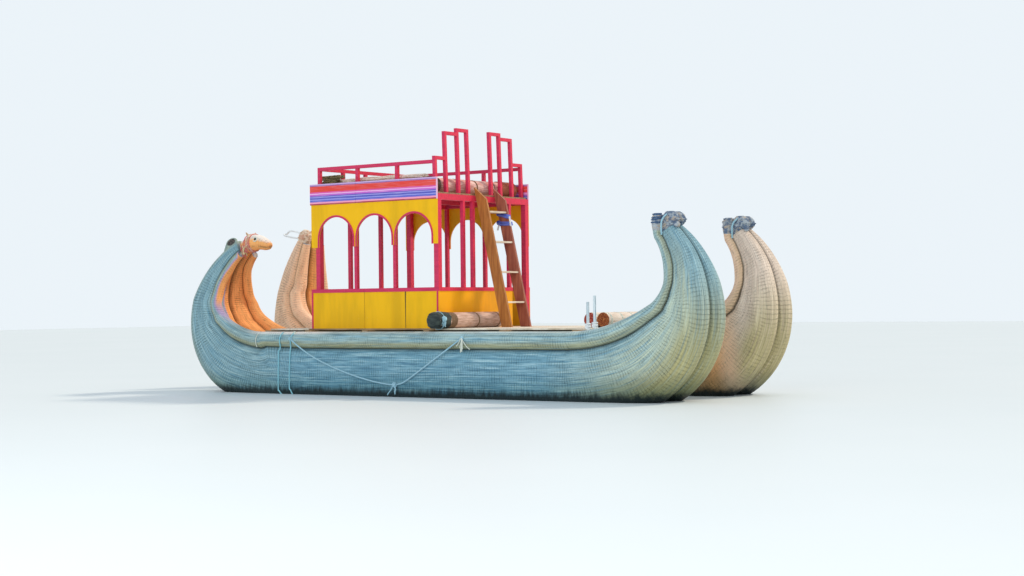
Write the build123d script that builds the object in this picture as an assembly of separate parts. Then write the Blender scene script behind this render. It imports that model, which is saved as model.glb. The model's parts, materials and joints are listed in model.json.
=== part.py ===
"""Twin-hulled reed boat with a two-storey painted wooden cabin.

Millimetres. +X is the bow, +Y is port, +Z is up. The origin is the middle of
the boat's footprint on the ground under its keels, so Z is height above keel.
"""

import math
import os

from build123d import *

# Driving dimensions: hulls
hull_length = 10240          # over the sweep of the keels at bow and stern
hull_spacing = 2090          # centre plane to centre plane of the two hulls
bundle_width = 590           # one reed bundle, from the hull's centre plane outwards
bundle_rounding = 0.53       # radius of its top and bottom, as a share of its width
hull_depth = 1350            # keel to the top of the gunwale rolls, amidships
roll_radius = 140            # gunwale roll, amidships
roll_overhang = 30           # how far a roll stands out past the bundle's side
waterline = 320              # keel to the water's surface

# Side view of the ends. A keel line and a gunwale line each run flat, rise gently, sweep
# up to upright and sweep back to the tip, as tangent arcs. Upright is where the line
# stands vertical: its distance in from the hull's end and its height above the line's
# flat run
KEEL_BOW = {"in": 0, "upright": hull_depth + 270, "gentle": 7000, "sweep": 1500, "back": 1650}
KEEL_STERN = {"in": 0, "upright": hull_depth + 190, "gentle": 7000, "sweep": 1350, "back": 1480}
KEEL_PORT_STERN = {"in": 0, "upright": hull_depth + 190, "gentle": 7000, "sweep": 1350, "back": 2800}
GUNWALE_BOW = {"in": 675, "upright": 700, "gentle": 2600, "sweep": 380, "back": 1000}
GUNWALE_STERN = {"in": 760, "upright": 630, "gentle": 1600, "sweep": 450, "back": 850}
GUNWALE_PORT_STERN = {"in": 660, "upright": 700, "gentle": 1600, "sweep": 450, "back": 6000}

# Hull sections, each a plane through a point of the keel line and one of the gunwale
# line: the slopes of the two lines there in degrees, then shares of the bundle width
# and roll radius amidships. The first is upright, at the end of the flat keel
BOW_SECTIONS = [
    # keel, gunwale, width, roll
    (0, 0, 1.00, 1.00),
    (6, 0, 1.00, 1.00),
    (12, 12, 1.00, 1.00),
    (45, 20, 0.96, 1.00),
    (70, 26, 0.90, 0.97),
    (90, 34, 0.83, 0.92),
    (105, 58, 0.73, 0.79),
    (120, 99, 0.52, 0.66),
    (132, 115, 0.40, 0.56),
    (140, 130, 0.295, 0.50),
]
STERN_SECTIONS = [
    # keel, gunwale, width, roll
    (0, 0, 1.00, 1.00),
    (10, 0, 1.00, 1.00),
    (15, 7, 0.99, 0.98),
    (45, 20, 0.97, 0.93),
    (70, 29, 0.95, 0.86),
    (90, 42, 0.91, 0.78),
    (105, 70, 0.87, 0.70),
    (120, 96, 0.68, 0.64),
    (140, 118, 0.455, 0.58),
    (158, 139, 0.35, 0.46),
]
PORT_STERN_SECTIONS = [
    # keel, gunwale, width, roll
    (0, 0, 1.00, 1.00),
    (10, 0, 1.00, 1.00),
    (15, 7, 0.99, 0.98),
    (45, 20, 0.97, 0.93),
    (70, 31, 0.95, 0.86),
    (90, 50, 0.91, 0.78),
    (100, 86, 0.80, 0.68),
    (110, 92, 0.62, 0.60),
    (121, 98, 0.385, 0.50),
]
roll_seat = 1.2              # roll's height above the bundle, in roll radii
keel_step = 10               # most that the lines turn between two sections, in degrees
gunwale_step = 15

# Knobs that close the bundles: place from the middle of the last section, lean of
# the knob's section from level, and its size as shares of the bundle's
BOW_KNOB = [
    # towards the end, up, lean, width, depth
    (20, 75, 15, 1.00, 1.05),
    (48, 155, 0, 1.00, 1.02),
    (48, 225, 0, 0.85, 0.80),
    (40, 270, 0, 0.50, 0.42),
]
PORT_STERN_KNOB = [
    # towards the end, up, lean, width, depth
    (-23, 77, 17, 0.98, 1.00),
    (-47, 153, 17, 0.84, 0.82),
    (-67, 220, 17, 0.46, 0.42),
]
# Bound ends of the gunwale rolls at the bows, from the middle of the roll's last section
BOW_ROLL_END = [
    # towards the end, up, radius as a share of the roll's
    (-8, 50, 1.03),
    (-14, 140, 1.17),
    (-16, 220, 1.20),
    (-14, 290, 1.03),
    (-11, 328, 0.64),
]
# Starboard stern: an animal's head that curls forward
HEAD_SECTIONS = [
    # distance in from the stern's end, height above the hull's depth, pitch of the axis
    # in degrees, width, depth
    (1145, 1518, 12, 280, 290),
    (1260, 1528, 2, 290, 258),
    (1370, 1512, -10, 265, 228),
    (1465, 1480, -16, 220, 188),
    (1530, 1460, -16, 165, 134),
    (1560, 1451, -16, 85, 70),
]
neck_width = 250             # at the last hull section
eye_radius = 30
EYE = (1322, 1575, 114)      # in from the stern's end, above the hull's depth, off the centre plane
EAR = (1150, 1635, 85)
ear_length = 95
MOUTH = [
    # distance in from the stern's end, height above the hull's depth
    (1400, 1447),
    (1600, 1408),
    (1600, 1428),
    (1400, 1451),
]

# Driving dimensions: decks
beam_height = 100            # cross beams that join the hulls
beam_width = 120
beam_proud = 20              # beams' top above the gunwale rolls
beam_from_end = 100          # outermost beams, in from the ends of the decks
deck_thickness = 25
deck_beside = 100            # deck outside the cabin's walls
fore_deck_length = 2870
aft_deck_length = 870

# Driving dimensions: cabin
cabin_front = 250
cabin_length = 2680
cabin_width = 2460           # over the posts
post = 90                    # corner posts, square
stud = 60                    # posts between
aft_inset = 90               # how far the aft posts stand in from the cabin's aft end
rail_height = 60             # top rails of the low walls
low_wall_height = 650
skin = 12                    # painted plywood
facing = 20                  # thickness of rails and fascia boards outside the posts
batten = 30
plate_height = 95            # beams under the upper deck
headroom = 2040              # lower deck to the underside of those beams
fascia_height = 345
fascia_drop = 10             # fascia's lower edge above the beams' underside
fascia_joint = 1700          # behind the cabin's front
board_joint = 4
PANEL_JOINTS = [1530, 670]   # behind the cabin's front
valance_height = 710
arch_from_front = 122        # first arch's edge, behind the cabin's front
arch_from_back = 176
arch_pier = 87               # between two openings
arch_crown = 205             # beams' underside to the crown of an arch
arch_trim = 32               # width of the strip round an opening
FRONT_POSTS_BELOW = [-553, -295, 700]
REAR_POSTS_BELOW = [-400, 400]
door_edge = 730              # where the front low wall stops, from the centre line
board = 25                   # upper deck boards
board_width = 145
board_gap = 5

# Driving dimensions: upper deck railing
rail = 55                    # square members
rail_above_beams = 540       # top of the side rails, above the upper deck beams
rail_inset = 70              # side rails' centre, in from the posts' outer face
aft_rail_inset = 100
frame_setback = 70           # front frames, behind the cabin's front
frame_lean = 1.8
SIDE_RAIL_POSTS = [1750, 910]   # aft edges, behind the cabin's front
FRAME_POSTS = [
    # distance in from the side rails, height above the upper deck beams
    (0, 600),
    (270, 1010),
    (590, 1080),
    (850, 1080),
]

# Driving dimensions: ladder
ladder_width = 560
ladder_centre = 35
ladder_plank = 195
ladder_thickness = 40
ladder_foot = 500            # aft edge of the planks, ahead of the cabin's front
ladder_treads = 4
tread_first = 415
tread_last = 250             # last tread's top, below the top of the beams
tread_depth = 170
tread_thickness = 28

# Driving dimensions: fittings
thole_radius = 22
thole_seat = 150             # depth of a pin's thinner foot in the roll
thole_foot_radius = 16
thole_clearance = 18         # a pin's shoulder above the roll's top
PINS = [
    # distance ahead of the cabin's front, length above the shoulder
    (3010, 392),
    (3130, 464),
]
seat_radius = 125
seat_half_length = 1090      # upper seat rolls, from the centre line
seat_behind_front = 265
seat_from_aft_rail = 185
seat_gap = 5
fore_seat_ahead = 150        # fore deck's seat roll, ahead of the cabin's front
fore_seat_ends = (-1550, 150)
bow_seat_radius = 115
bow_seat_half_length = 700
BOW_SEATS_AHEAD = [2500, 2735]  # ahead of the cabin's front
# Rope that hangs along the starboard side, tied to the gunwale roll at both ends
rope_radius = 12
rope_gap = 4                 # clear of the roll's side
rope_tie_radius = 36
rope_knot_radius = 42
rope_knot = (-300, 836)
ROPE_POINTS = [
    # x, drop below the top of the gunwale roll
    (-2530, 115),
    (-2365, 232),
    (-2155, 350),
    (-1900, 465),
    (-1615, 567),
    (-1325, 656),
    (-1035, 730),
    (-760, 787),
    (-520, 823),
    (-330, 838),
    (-175, 820),
    (-45, 765),
    (1040, 100),
]

# Worked out from the above
hull_centre = hull_spacing / 2
roll_across = hull_centre + bundle_width + roll_overhang - roll_radius
beam_top = hull_depth + beam_proud
deck_top = beam_top + deck_thickness
beams_under = deck_top + headroom
beams_over = beams_under + plate_height
upper_deck_top = beams_over + board
cabin_back = cabin_front - cabin_length
half_cabin = cabin_width / 2
low_wall_top = deck_top + low_wall_height
lower_rail = low_wall_top - rail_height
fascia_bottom = beams_under + fascia_drop
valance_bottom = beams_under + fascia_drop - valance_height
aft_posts = cabin_back + aft_inset
arch_pitch = (cabin_length - arch_from_front - arch_from_back + arch_pier) / 3
arch_radius = (arch_pitch - arch_pier) / 2
arch_middle = cabin_front - arch_from_front - arch_radius - arch_pitch
fore_deck_end = cabin_front + fore_deck_length
aft_deck_end = cabin_back - aft_deck_length
deck_half_width = half_cabin + deck_beside
cross_beams_at = [
    aft_deck_end + beam_from_end, aft_posts + post / 2, arch_middle, cabin_front - post / 2,
    (cabin_front + fore_deck_end) / 2, fore_deck_end - beam_from_end]
rail_centre = half_cabin - rail_inset
aft_rail_x = cabin_back + aft_rail_inset
tread_pitch = (beams_over - deck_top - tread_first - tread_last) / (ladder_treads - 1)


def block(x, y, z):
    """A box between two X, two Y and two Z values."""
    size = [abs(b - a) for a, b in (x, y, z)]
    return Pos(*[(a + b) / 2 for a, b in (x, y, z)]) * Box(*size)


def line_point(line, slope):
    """Point (x, height above the flat run) of a keel or gunwale line where it
    slopes by this many degrees."""
    gentle, sweep, back = line["gentle"], line["sweep"], line["back"]
    upright_x = hull_length / 2 - line["in"]
    centre_x = upright_x - sweep
    flat = math.sqrt((gentle - sweep) ** 2 - (gentle - line["upright"]) ** 2)
    meet = math.degrees(math.atan2(flat, gentle - line["upright"]))
    angle = math.radians(slope)
    if slope < meet:
        return centre_x - flat + gentle * math.sin(angle), gentle * (1 - math.cos(angle))
    if slope <= 90:
        return centre_x + sweep * math.sin(angle), line["upright"] - sweep * math.cos(angle)
    return upright_x - back * (1 - math.sin(angle)), line["upright"] - back * math.cos(angle)


def section_plane(x, z, lean, centre_y):
    """Section plane at a keel point: its x runs to port, its y up the section."""
    angle = math.radians(lean)
    up = (-math.sin(angle), 0, math.cos(angle))
    return Plane(origin=(x, centre_y, z), x_dir=(0, 1, 0), z_dir=(up[2], 0, -up[0]))


def bundle_face(depth, width):
    """Half of the twin bundle: flat on the centre plane, round at top and bottom."""
    cap = bundle_rounding * width
    centre = width - cap
    notch = cap - math.sqrt(cap ** 2 - centre ** 2)
    middle = -(math.pi / 2 + math.asin(centre / cap)) / 2
    low = (centre + cap * math.cos(middle), cap + cap * math.sin(middle))
    high = (low[0], depth - low[1])
    outline = [
        Line((0, depth - notch), (0, notch)),
        ThreePointArc((0, notch), low, (width, cap)),
        Line((width, cap), (width, depth - cap)),
        ThreePointArc((width, depth - cap), high, (0, depth - notch)),
    ]
    return make_face(Wire(outline))


def hull_stations(sections, keel, gunwale):
    """Each section as (x, z, lean, depth, width, roll): its point on the keel line,
    its lean from upright in degrees and its sizes. More sections come between the
    table's rows, so that the sweep is round."""
    rows = [sections[0]]
    for row, following in zip(sections, sections[1:]):
        keel_turn, gunwale_turn = following[0] - row[0], following[1] - row[1]
        parts = math.ceil(max(keel_turn / keel_step, gunwale_turn / gunwale_step))
        for part in range(1, parts + 1):
            rows.append([a + (b - a) * part / parts for a, b in zip(row, following)])
    stations = []
    for keel_slope, gunwale_slope, width, roll in rows:
        x, z = line_point(keel, keel_slope)
        top_x, rise = line_point(gunwale, gunwale_slope)
        if keel_slope == 0:
            top_x = x
        across, up = x - top_x, hull_depth + rise - z
        lean = math.degrees(math.atan2(across, up))
        stations.append((x, z, lean, math.hypot(across, up), width * bundle_width, roll * roll_radius))
    return stations


def bundle_end(stations):
    """One end of a hull's port bundle, as a bow."""
    faces = []
    for x, z, lean, depth, width, roll in stations:
        plane = section_plane(x, z, lean, 0)
        faces.append(plane * bundle_face(depth - roll_seat * roll, width))
    return loft(faces, ruled=True)


def disc(radius):
    """A round face of three arcs, whose corners keep a loft through it from twisting."""
    points = []
    for turn in range(90, 451, 60):
        angle = math.radians(turn)
        points.append((radius * math.cos(angle), radius * math.sin(angle)))
    points[-1] = points[0]
    return make_face(Wire([ThreePointArc(*points[i:i + 3]) for i in (0, 2, 4)]))


def roll_end(stations, tip=()):
    """One end of a hull's port gunwale roll, as a bow, with the swelling of a bound tip."""
    faces = []
    for x, z, lean, depth, width, roll in stations:
        plane = section_plane(x, z, lean, 0)
        across = width + roll_overhang - roll
        faces.append(plane * Pos(across, depth - roll) * disc(roll))
    start = plane.origin + plane.x_dir * across + plane.y_dir * (depth - roll)
    for ahead, up, share in tip:
        level = Plane(origin=(start.X + ahead, start.Y, start.Z + up), x_dir=(0, 1, 0), z_dir=(0, 0, 1))
        faces.append(level * disc(roll * share))
    return loft(faces, ruled=True)


def bound_roll_end(stations):
    return roll_end(stations, BOW_ROLL_END)


def lengths(make_fore, make_aft, sizes, bow, stern):
    """A bundle or roll as its bow end, its straight run and its stern end."""
    fore = make_fore(bow)
    aft = make_aft(stern).mirror(Plane.YZ)
    x0, z0, lean0, depth, width, roll = bow[0]
    start = -stern[0][0]
    face = section_plane(start, 0, 0, 0) * sizes(depth, width, roll)
    return fore, extrude(face, amount=x0 - start), aft


def bundle_run(depth, width, roll):
    return bundle_face(depth - roll_seat * roll, width)


def roll_run(depth, width, roll):
    return Pos(width + roll_overhang - roll, depth - roll) * disc(roll)


def largest(shape):
    """The biggest solid of a shape, without the slivers a cut leaves."""
    return sorted(shape.solids(), key=lambda solid: solid.volume)[-1]


def end_knobs(stations, sections, mirrored, rolls):
    """Bound ends of a hull's two bundles past the last section."""
    x, z, lean, depth, width, roll = stations[-1]
    deep = depth - roll_seat * roll
    last = section_plane(x, z, lean, 0)
    middle = last.origin + last.x_dir * (width / 2) + last.y_dir * (deep / 2)
    faces = [last * Pos(width / 2, deep / 2) * Ellipse(width / 2 * 0.90, deep / 2 * 0.94)]
    for ahead, up, knob_lean, wide, tall in sections:
        angle = math.radians(knob_lean)
        plane = Plane(
            origin=(middle.X + ahead, middle.Y, middle.Z + up), x_dir=(0, 1, 0),
            z_dir=(-math.sin(angle), 0, math.cos(angle)))
        faces.append(plane * Ellipse(width / 2 * wide, deep / 2 * tall))
    knob = loft(faces, ruled=True)
    knob = knob.mirror(Plane.YZ) if mirrored else knob
    return both(largest(knob - rolls))


def head(stations):
    """The head at the starboard stern, with its eyes."""
    x, z, lean, depth, width, roll = stations[-1]
    deep = depth - roll_seat * roll
    plane = section_plane(-x, z, -lean, 0)
    neck = plane.origin + plane.y_dir * deep / 2
    neck_row = (neck.X + hull_length / 2, neck.Z - hull_depth, 180 - lean, neck_width, 0.96 * deep)
    faces = []
    for inward, above, pitch, wide, tall in [neck_row] + HEAD_SECTIONS:
        angle = math.radians(pitch)
        section = Plane(
            origin=(inward - hull_length / 2, 0, hull_depth + above), x_dir=(0, 1, 0),
            z_dir=(math.cos(angle), 0, math.sin(angle)))
        faces.append(section * Ellipse(wide / 2, tall / 2))
    shape = loft(faces, ruled=True)
    wedge = [(inward - hull_length / 2, hull_depth + above) for inward, above in MOUTH]
    mouth = xz_prism(wedge, -300, 300)
    eyes = both(Pos(EYE[0] - hull_length / 2, EYE[2], hull_depth + EYE[1]) * Sphere(eye_radius))
    ear = Rot(-18, -35, 0) * Cone(38, 6, ear_length)
    ear = Pos(EAR[0] - hull_length / 2, EAR[2], hull_depth + EAR[1]) * ear
    shape = shape - mouth
    for side in both(ear):
        shape = shape + side
    for eye in eyes:
        shape = shape - eye
    return largest(shape), eyes


def xz_prism(points, y0, y1):
    """A prism across the boat from an outline of (x, z) points."""
    face = make_face(Polyline([(x, y0, z) for x, z in points], close=True))
    return extrude(face, amount=y1 - y0, dir=(0, 1, 0))


def both(shape):
    """A shape and its mirror image across the centre plane."""
    return [shape, shape.mirror(Plane.XZ)]


parts = {}

# Hulls
bow = hull_stations(BOW_SECTIONS, KEEL_BOW, GUNWALE_BOW)
starboard_stern = hull_stations(STERN_SECTIONS, KEEL_STERN, GUNWALE_STERN)
port_stern = hull_stations(PORT_STERN_SECTIONS, KEEL_PORT_STERN, GUNWALE_PORT_STERN)

beams = [
    block((x - beam_width / 2, x + beam_width / 2), (25 - roll_across, roll_across - 25),
          (beam_top - beam_height, beam_top))
    for x in cross_beams_at
]
fore_deck = block((cabin_front, fore_deck_end), (-deck_half_width, deck_half_width), (beam_top, deck_top))
aft_deck = block((aft_deck_end, cabin_back), (-deck_half_width, deck_half_width), (beam_top, deck_top))

pins = []
pin_feet = []
gunwale_start = line_point(GUNWALE_BOW, 0)[0]
for ahead, length in PINS:
    x = cabin_front + ahead
    slope = math.degrees(math.asin(max(0, x - gunwale_start) / GUNWALE_BOW["gentle"]))
    shoulder = round(hull_depth + line_point(GUNWALE_BOW, slope)[1] + thole_clearance)
    seat = shoulder - thole_clearance - thole_seat
    foot = Pos(x, -roll_across, (seat + shoulder) / 2) * Cylinder(thole_foot_radius, shoulder - seat)
    shaft = Pos(x, -roll_across, shoulder + length / 2) * Cylinder(thole_radius, length)
    pins.append(shaft + foot)
    pin_feet.append(foot)
    print("thole pin", x, -roll_across, "from", shoulder, "to", shoulder + length)

for side, sign, stern in (("starboard", -1, starboard_stern), ("port", 1, port_stern)):
    roll_lengths = lengths(bound_roll_end, roll_end, roll_run, bow, stern)
    roll = roll_lengths[0] + roll_lengths[1] + roll_lengths[2]
    fore_bundle, bundle_middle, aft_bundle = lengths(bundle_end, bundle_end, bundle_run, bow, stern)
    bundle = largest(fore_bundle + bundle_middle + aft_bundle - roll)
    centre = Pos(0, sign * hull_centre)
    for place, outward in (("outer", True), ("inner", False)):
        flip = (sign > 0) != outward
        parts[side + "_" + place + "_bundle"] = centre * (bundle.mirror(Plane.XZ) if flip else bundle)
        named = {"": roll} if outward else dict(zip(("_fore", "_middle", "_aft"), roll_lengths))
        for ending, length in named.items():
            placed = centre * (length.mirror(Plane.XZ) if flip else length)
            for cutter in beams + [fore_deck, aft_deck]:
                placed = placed - cutter
            parts[side + "_" + place + "_roll" + ending] = placed
    parts[side + "_bow_knobs"] = [centre * knob for knob in end_knobs(bow, BOW_KNOB, False, roll)]
for foot in pin_feet:
    parts["starboard_outer_roll"] = parts["starboard_outer_roll"] - foot
stern_head, head_eyes = head(starboard_stern)
parts["starboard_stern_head"] = Pos(0, -hull_centre) * stern_head
parts["head_eyes"] = [Pos(0, -hull_centre) * eye for eye in head_eyes]
parts["port_stern_knobs"] = [
    Pos(0, hull_centre) * knob for knob in end_knobs(port_stern, PORT_STERN_KNOB, True, roll)]

# Decks
parts["cross_beams"] = beams
parts["fore_deck_mat"] = fore_deck
parts["aft_deck_mat"] = aft_deck
parts["cabin_floor"] = block(
    (cabin_back, cabin_front), (-deck_half_width, deck_half_width), (beam_top, deck_top))

# Cabin frame
corner_posts = []
for x in (aft_posts, cabin_front - post):
    corner_posts += both(block((x, x + post), (half_cabin - post, half_cabin), (deck_top, beams_under)))
parts["corner_posts"] = corner_posts
studs = [
    block((x - stud / 2, x + stud / 2), (half_cabin - stud, half_cabin), (deck_top, beams_under))
    for x in (arch_middle - arch_pitch / 2, arch_middle + arch_pitch / 2)
]
studs += [shape.mirror(Plane.XZ) for shape in studs]
studs += [
    block((cabin_front - stud, cabin_front), (y - stud / 2, y + stud / 2), (deck_top, beams_under))
    for y in FRONT_POSTS_BELOW
]
studs += [
    block((aft_posts, aft_posts + stud), (y - stud / 2, y + stud / 2), (deck_top, beams_under))
    for y in REAR_POSTS_BELOW
]
parts["wall_studs"] = studs
parts["wall_plates"] = both(block(
    (cabin_back, cabin_front - post), (half_cabin - post, half_cabin), (beams_under, beams_over)))
front_beam = block(
    (cabin_front - post, cabin_front), (-half_cabin, half_cabin), (beams_under, beams_over))
joists = [
    block((x - stud / 2, x + stud / 2), (post - half_cabin, half_cabin - post), (beams_under, beams_over))
    for x in (aft_posts + stud / 2, arch_middle - arch_pitch / 2, arch_middle + arch_pitch / 2)
]
parts["upper_deck_beams"] = [front_beam] + joists

# Low walls
panels = []
edges = [cabin_back] + [cabin_front - joint for joint in PANEL_JOINTS] + [cabin_front]
for x0, x1 in zip(edges, edges[1:]):
    start = x0 if x0 == cabin_back else x0 + board_joint / 2
    end = x1 if x1 == cabin_front else x1 - board_joint / 2
    panels.append(block((start, end), (half_cabin, half_cabin + skin), (deck_top, lower_rail)))
parts["port_low_panels"] = panels
parts["starboard_low_panels"] = [shape.mirror(Plane.XZ) for shape in panels]
side_rail = block((cabin_back, cabin_front), (half_cabin, half_cabin + facing), (lower_rail, low_wall_top))
parts["port_low_rail"] = side_rail
parts["starboard_low_rail"] = side_rail.mirror(Plane.XZ)
parts["front_low_panel"] = block(
    (cabin_front, cabin_front + skin), (-half_cabin - skin, door_edge), (deck_top, lower_rail))
parts["front_low_rail"] = block(
    (cabin_front, cabin_front + facing), (-half_cabin - facing, door_edge), (lower_rail, low_wall_top))
parts["rear_low_panel"] = block(
    (aft_posts - skin, aft_posts), (-half_cabin, half_cabin), (deck_top, lower_rail))
parts["rear_low_rail"] = block(
    (aft_posts - facing, aft_posts), (-half_cabin, half_cabin), (lower_rail, low_wall_top))
battens = []
for x in (cabin_back, cabin_front - batten):
    battens += both(block(
        (x, x + batten), (half_cabin + skin, half_cabin + facing), (deck_top, lower_rail)))
parts["wall_battens"] = battens

# Valances with three arches a side
valance = block(
    (cabin_back, cabin_front), (half_cabin, half_cabin + skin), (valance_bottom, fascia_bottom))
spring = beams_under - arch_crown - arch_radius


def arch(x, radius, y0, y1):
    """A round-headed block that reaches down past the valance's lower edge."""
    outline = Circle(radius) + Pos(0, -radius) * Rectangle(2 * radius, 2 * radius)
    place = Plane(origin=(x, y0, spring), x_dir=(1, 0, 0), z_dir=(0, -1, 0))
    return extrude(place * outline, amount=y0 - y1)


trims = []
for count in (-1, 0, 1):
    x = arch_middle + count * arch_pitch
    valance = valance - arch(x, arch_radius, half_cabin - 1, half_cabin + facing)
    trim = arch(x, arch_radius + arch_trim, half_cabin + skin, half_cabin + facing)
    trim = trim - arch(x, arch_radius, half_cabin, half_cabin + 2 * facing)
    low = block((x - 500, x + 500), (half_cabin, half_cabin + 50), (spring - 1000, valance_bottom))
    trims.append(trim - low)
parts["port_valance"] = valance
parts["starboard_valance"] = valance.mirror(Plane.XZ)
parts["arch_trims"] = trims + [shape.mirror(Plane.XZ) for shape in trims]

# Fascia boards round the upper deck
joint = cabin_front - fascia_joint
fascia = [
    block((x0, x1), (half_cabin, half_cabin + facing), (fascia_bottom, fascia_bottom + fascia_height))
    for x0, x1 in ((cabin_back, joint - board_joint / 2), (joint + board_joint / 2, cabin_front))
]
parts["port_fascia"] = fascia
parts["starboard_fascia"] = [shape.mirror(Plane.XZ) for shape in fascia]
parts["rear_fascia"] = block(
    (cabin_back - facing, cabin_back), (-half_cabin - facing, half_cabin + facing),
    (fascia_bottom, fascia_bottom + fascia_height))

# Upper deck boards
boards = []
pitch = board_width + board_gap
count = int((cabin_width + board_gap) // pitch)
for number in range(count):
    y = (number - (count - 1) / 2) * pitch
    boards.append(block(
        (cabin_back, cabin_front - facing), (y - board_width / 2, y + board_width / 2),
        (beams_over, upper_deck_top)))
parts["upper_deck_boards"] = boards

# Upper railing
rail_under = beams_over + rail_above_beams - rail
frame_back = cabin_front - frame_setback - rail
shear = math.tan(math.radians(frame_lean))


def leaning(y0, y1, z0, z1):
    """A member of the front frames between two heights, leaning aft."""
    low = (z0 - upper_deck_top) * shear
    high = (z1 - upper_deck_top) * shear
    return xz_prism([
        (frame_back - low, z0), (frame_back + rail - low, z0),
        (frame_back + rail - high, z1), (frame_back - high, z1)], y0, y1)


frame_posts = []
frame_bars = []
frame_rows = [(rail_centre - inward, height) for inward, height in FRAME_POSTS]
for y, height in frame_rows:
    frame_posts.append(leaning(y - rail / 2, y + rail / 2, upper_deck_top, beams_over + height - rail))
for (y0, h0), (y1, h1) in zip(frame_rows, frame_rows[1:]):
    top = beams_over + min(h0, h1)
    if h0 == h1:
        frame_bars.append(leaning(y1 - rail / 2, y0 + rail / 2, top - rail, top))
    else:
        frame_bars.append(leaning(y1 + rail / 2, y0 + rail / 2, top - rail, top))
parts["frame_posts"] = frame_posts + [shape.mirror(Plane.XZ) for shape in frame_posts]
parts["frame_bars"] = frame_bars + [shape.mirror(Plane.XZ) for shape in frame_bars]
side_posts = [
    block((x, x + rail), (rail_centre - rail / 2, rail_centre + rail / 2), (upper_deck_top, rail_under))
    for x in [cabin_front - behind for behind in SIDE_RAIL_POSTS]
]
top_rail = block(
    (aft_rail_x, frame_back), (rail_centre - rail / 2, rail_centre + rail / 2),
    (rail_under, rail_under + rail))
for shape in frame_posts + frame_bars:
    top_rail = top_rail - shape
parts["port_top_rail"] = top_rail
parts["starboard_top_rail"] = top_rail.mirror(Plane.XZ)
parts["aft_top_rail"] = block(
    (aft_rail_x, aft_rail_x + rail), (rail / 2 - rail_centre, rail_centre - rail / 2),
    (rail_under, rail_under + rail))
aft_corner = block(
    (aft_rail_x, aft_rail_x + rail), (rail_centre - rail / 2, rail_centre + rail / 2),
    (upper_deck_top, rail_under))
parts["railing_posts"] = side_posts + [shape.mirror(Plane.XZ) for shape in side_posts] + both(aft_corner) + [
    block((aft_rail_x, aft_rail_x + rail), (y - rail / 2, y + rail / 2), (upper_deck_top, rail_under))
    for y in (-rail_centre / 2, 0, rail_centre / 2)
]

# Ladder
ladder_slope = ladder_foot / (beams_over - deck_top)
foot_x = cabin_front + ladder_foot


def ladder_x(z):
    """Aft edge of the ladder's planks at a height."""
    return foot_x - (z - deck_top) * ladder_slope


top_aft = beams_over + 140
top_fore = beams_over - 60
outline = [
    (foot_x, deck_top), (foot_x + ladder_plank, deck_top),
    (ladder_x(top_fore) + ladder_plank, top_fore), (ladder_x(top_aft), top_aft)]
low_y = ladder_centre - ladder_width / 2
high_y = ladder_centre + ladder_width / 2
parts["ladder_planks"] = [
    xz_prism(outline, low_y, low_y + ladder_thickness),
    xz_prism(outline, high_y - ladder_thickness, high_y)]
treads = []
for number in range(ladder_treads):
    top = deck_top + tread_first + number * tread_pitch
    x = ladder_x(top) + 10
    treads.append(block(
        (x, x + tread_depth), (low_y + ladder_thickness, high_y - ladder_thickness),
        (top - tread_thickness, top)))
parts["ladder_treads"] = treads

# Fittings
parts["thole_pins"] = pins


def seat_roll(x, ends, under, radius):
    """A seat roll that lies across the boat."""
    length = ends[1] - ends[0]
    middle = (ends[0] + ends[1]) / 2
    return Pos(x, middle, under + radius) * Rot(90, 0, 0) * Cylinder(radius, length)


front_seat_x = cabin_front - seat_behind_front
aft_seat_x = aft_rail_x + seat_from_aft_rail
upper_ends = (-seat_half_length, seat_half_length)
parts["fore_deck_seat_roll"] = seat_roll(
    cabin_front + fore_seat_ahead, fore_seat_ends, deck_top, seat_radius)
parts["upper_front_seat_roll"] = seat_roll(front_seat_x, upper_ends, upper_deck_top, seat_radius)
parts["upper_aft_seat_roll"] = seat_roll(aft_seat_x, upper_ends, upper_deck_top, seat_radius)
parts["bow_seat_rolls"] = [
    seat_roll(cabin_front + ahead, (-bow_seat_half_length, bow_seat_half_length), deck_top, bow_seat_radius)
    for ahead in BOW_SEATS_AHEAD
]
side_seat_length = front_seat_x - aft_seat_x - 2 * seat_radius - 2 * seat_gap
parts["upper_side_seat_rolls"] = both(
    Pos((front_seat_x + aft_seat_x) / 2, rail_centre - rail / 2 - seat_gap - seat_radius,
        upper_deck_top + seat_radius)
    * Rot(0, 90, 0) * Cylinder(seat_radius, side_seat_length))

# Rope along the starboard side
rope_y = -(roll_across + roll_radius + rope_gap + rope_radius)
rope_points = [(x, rope_y, hull_depth - drop) for x, drop in ROPE_POINTS]
radii = []
for before, corner, after in zip(rope_points, rope_points[1:], rope_points[2:]):
    run_in = Vector(*corner) - Vector(*before)
    run_out = Vector(*after) - Vector(*corner)
    turn = math.radians(run_in.get_angle(run_out))
    radii.append(0.45 * min(run_in.length, run_out.length) / math.tan(turn / 2))
print("rope radii", [round(radius) for radius in radii])
rope_path = FilletPolyline(*rope_points, radius=radii)
print("rope length", round(rope_path.length))
rope_start = Plane(origin=rope_path @ 0, z_dir=rope_path % 0)
rope = sweep(rope_start * Circle(rope_radius), path=rope_path)
parts["side_rope"] = rope
knot = Pos(rope_knot[0], rope_y, hull_depth - rope_knot[1]) * Rot(0, 0, 90) * Sphere(rope_knot_radius)
parts["side_rope_knot"] = knot - rope
outer_roll = parts["starboard_outer_roll"]
parts["rope_ties"] = [
    largest(Pos(*point) * Sphere(rope_tie_radius) - rope - outer_roll)
    for point in (rope_points[0], rope_points[-1])
]

os.makedirs("parts", exist_ok=True)
for name, shape in parts.items():
    if isinstance(shape, list):
        shape = Compound([solid for item in shape for solid in item.solids()])
    export_step(shape, "parts/" + name + ".step")
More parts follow.
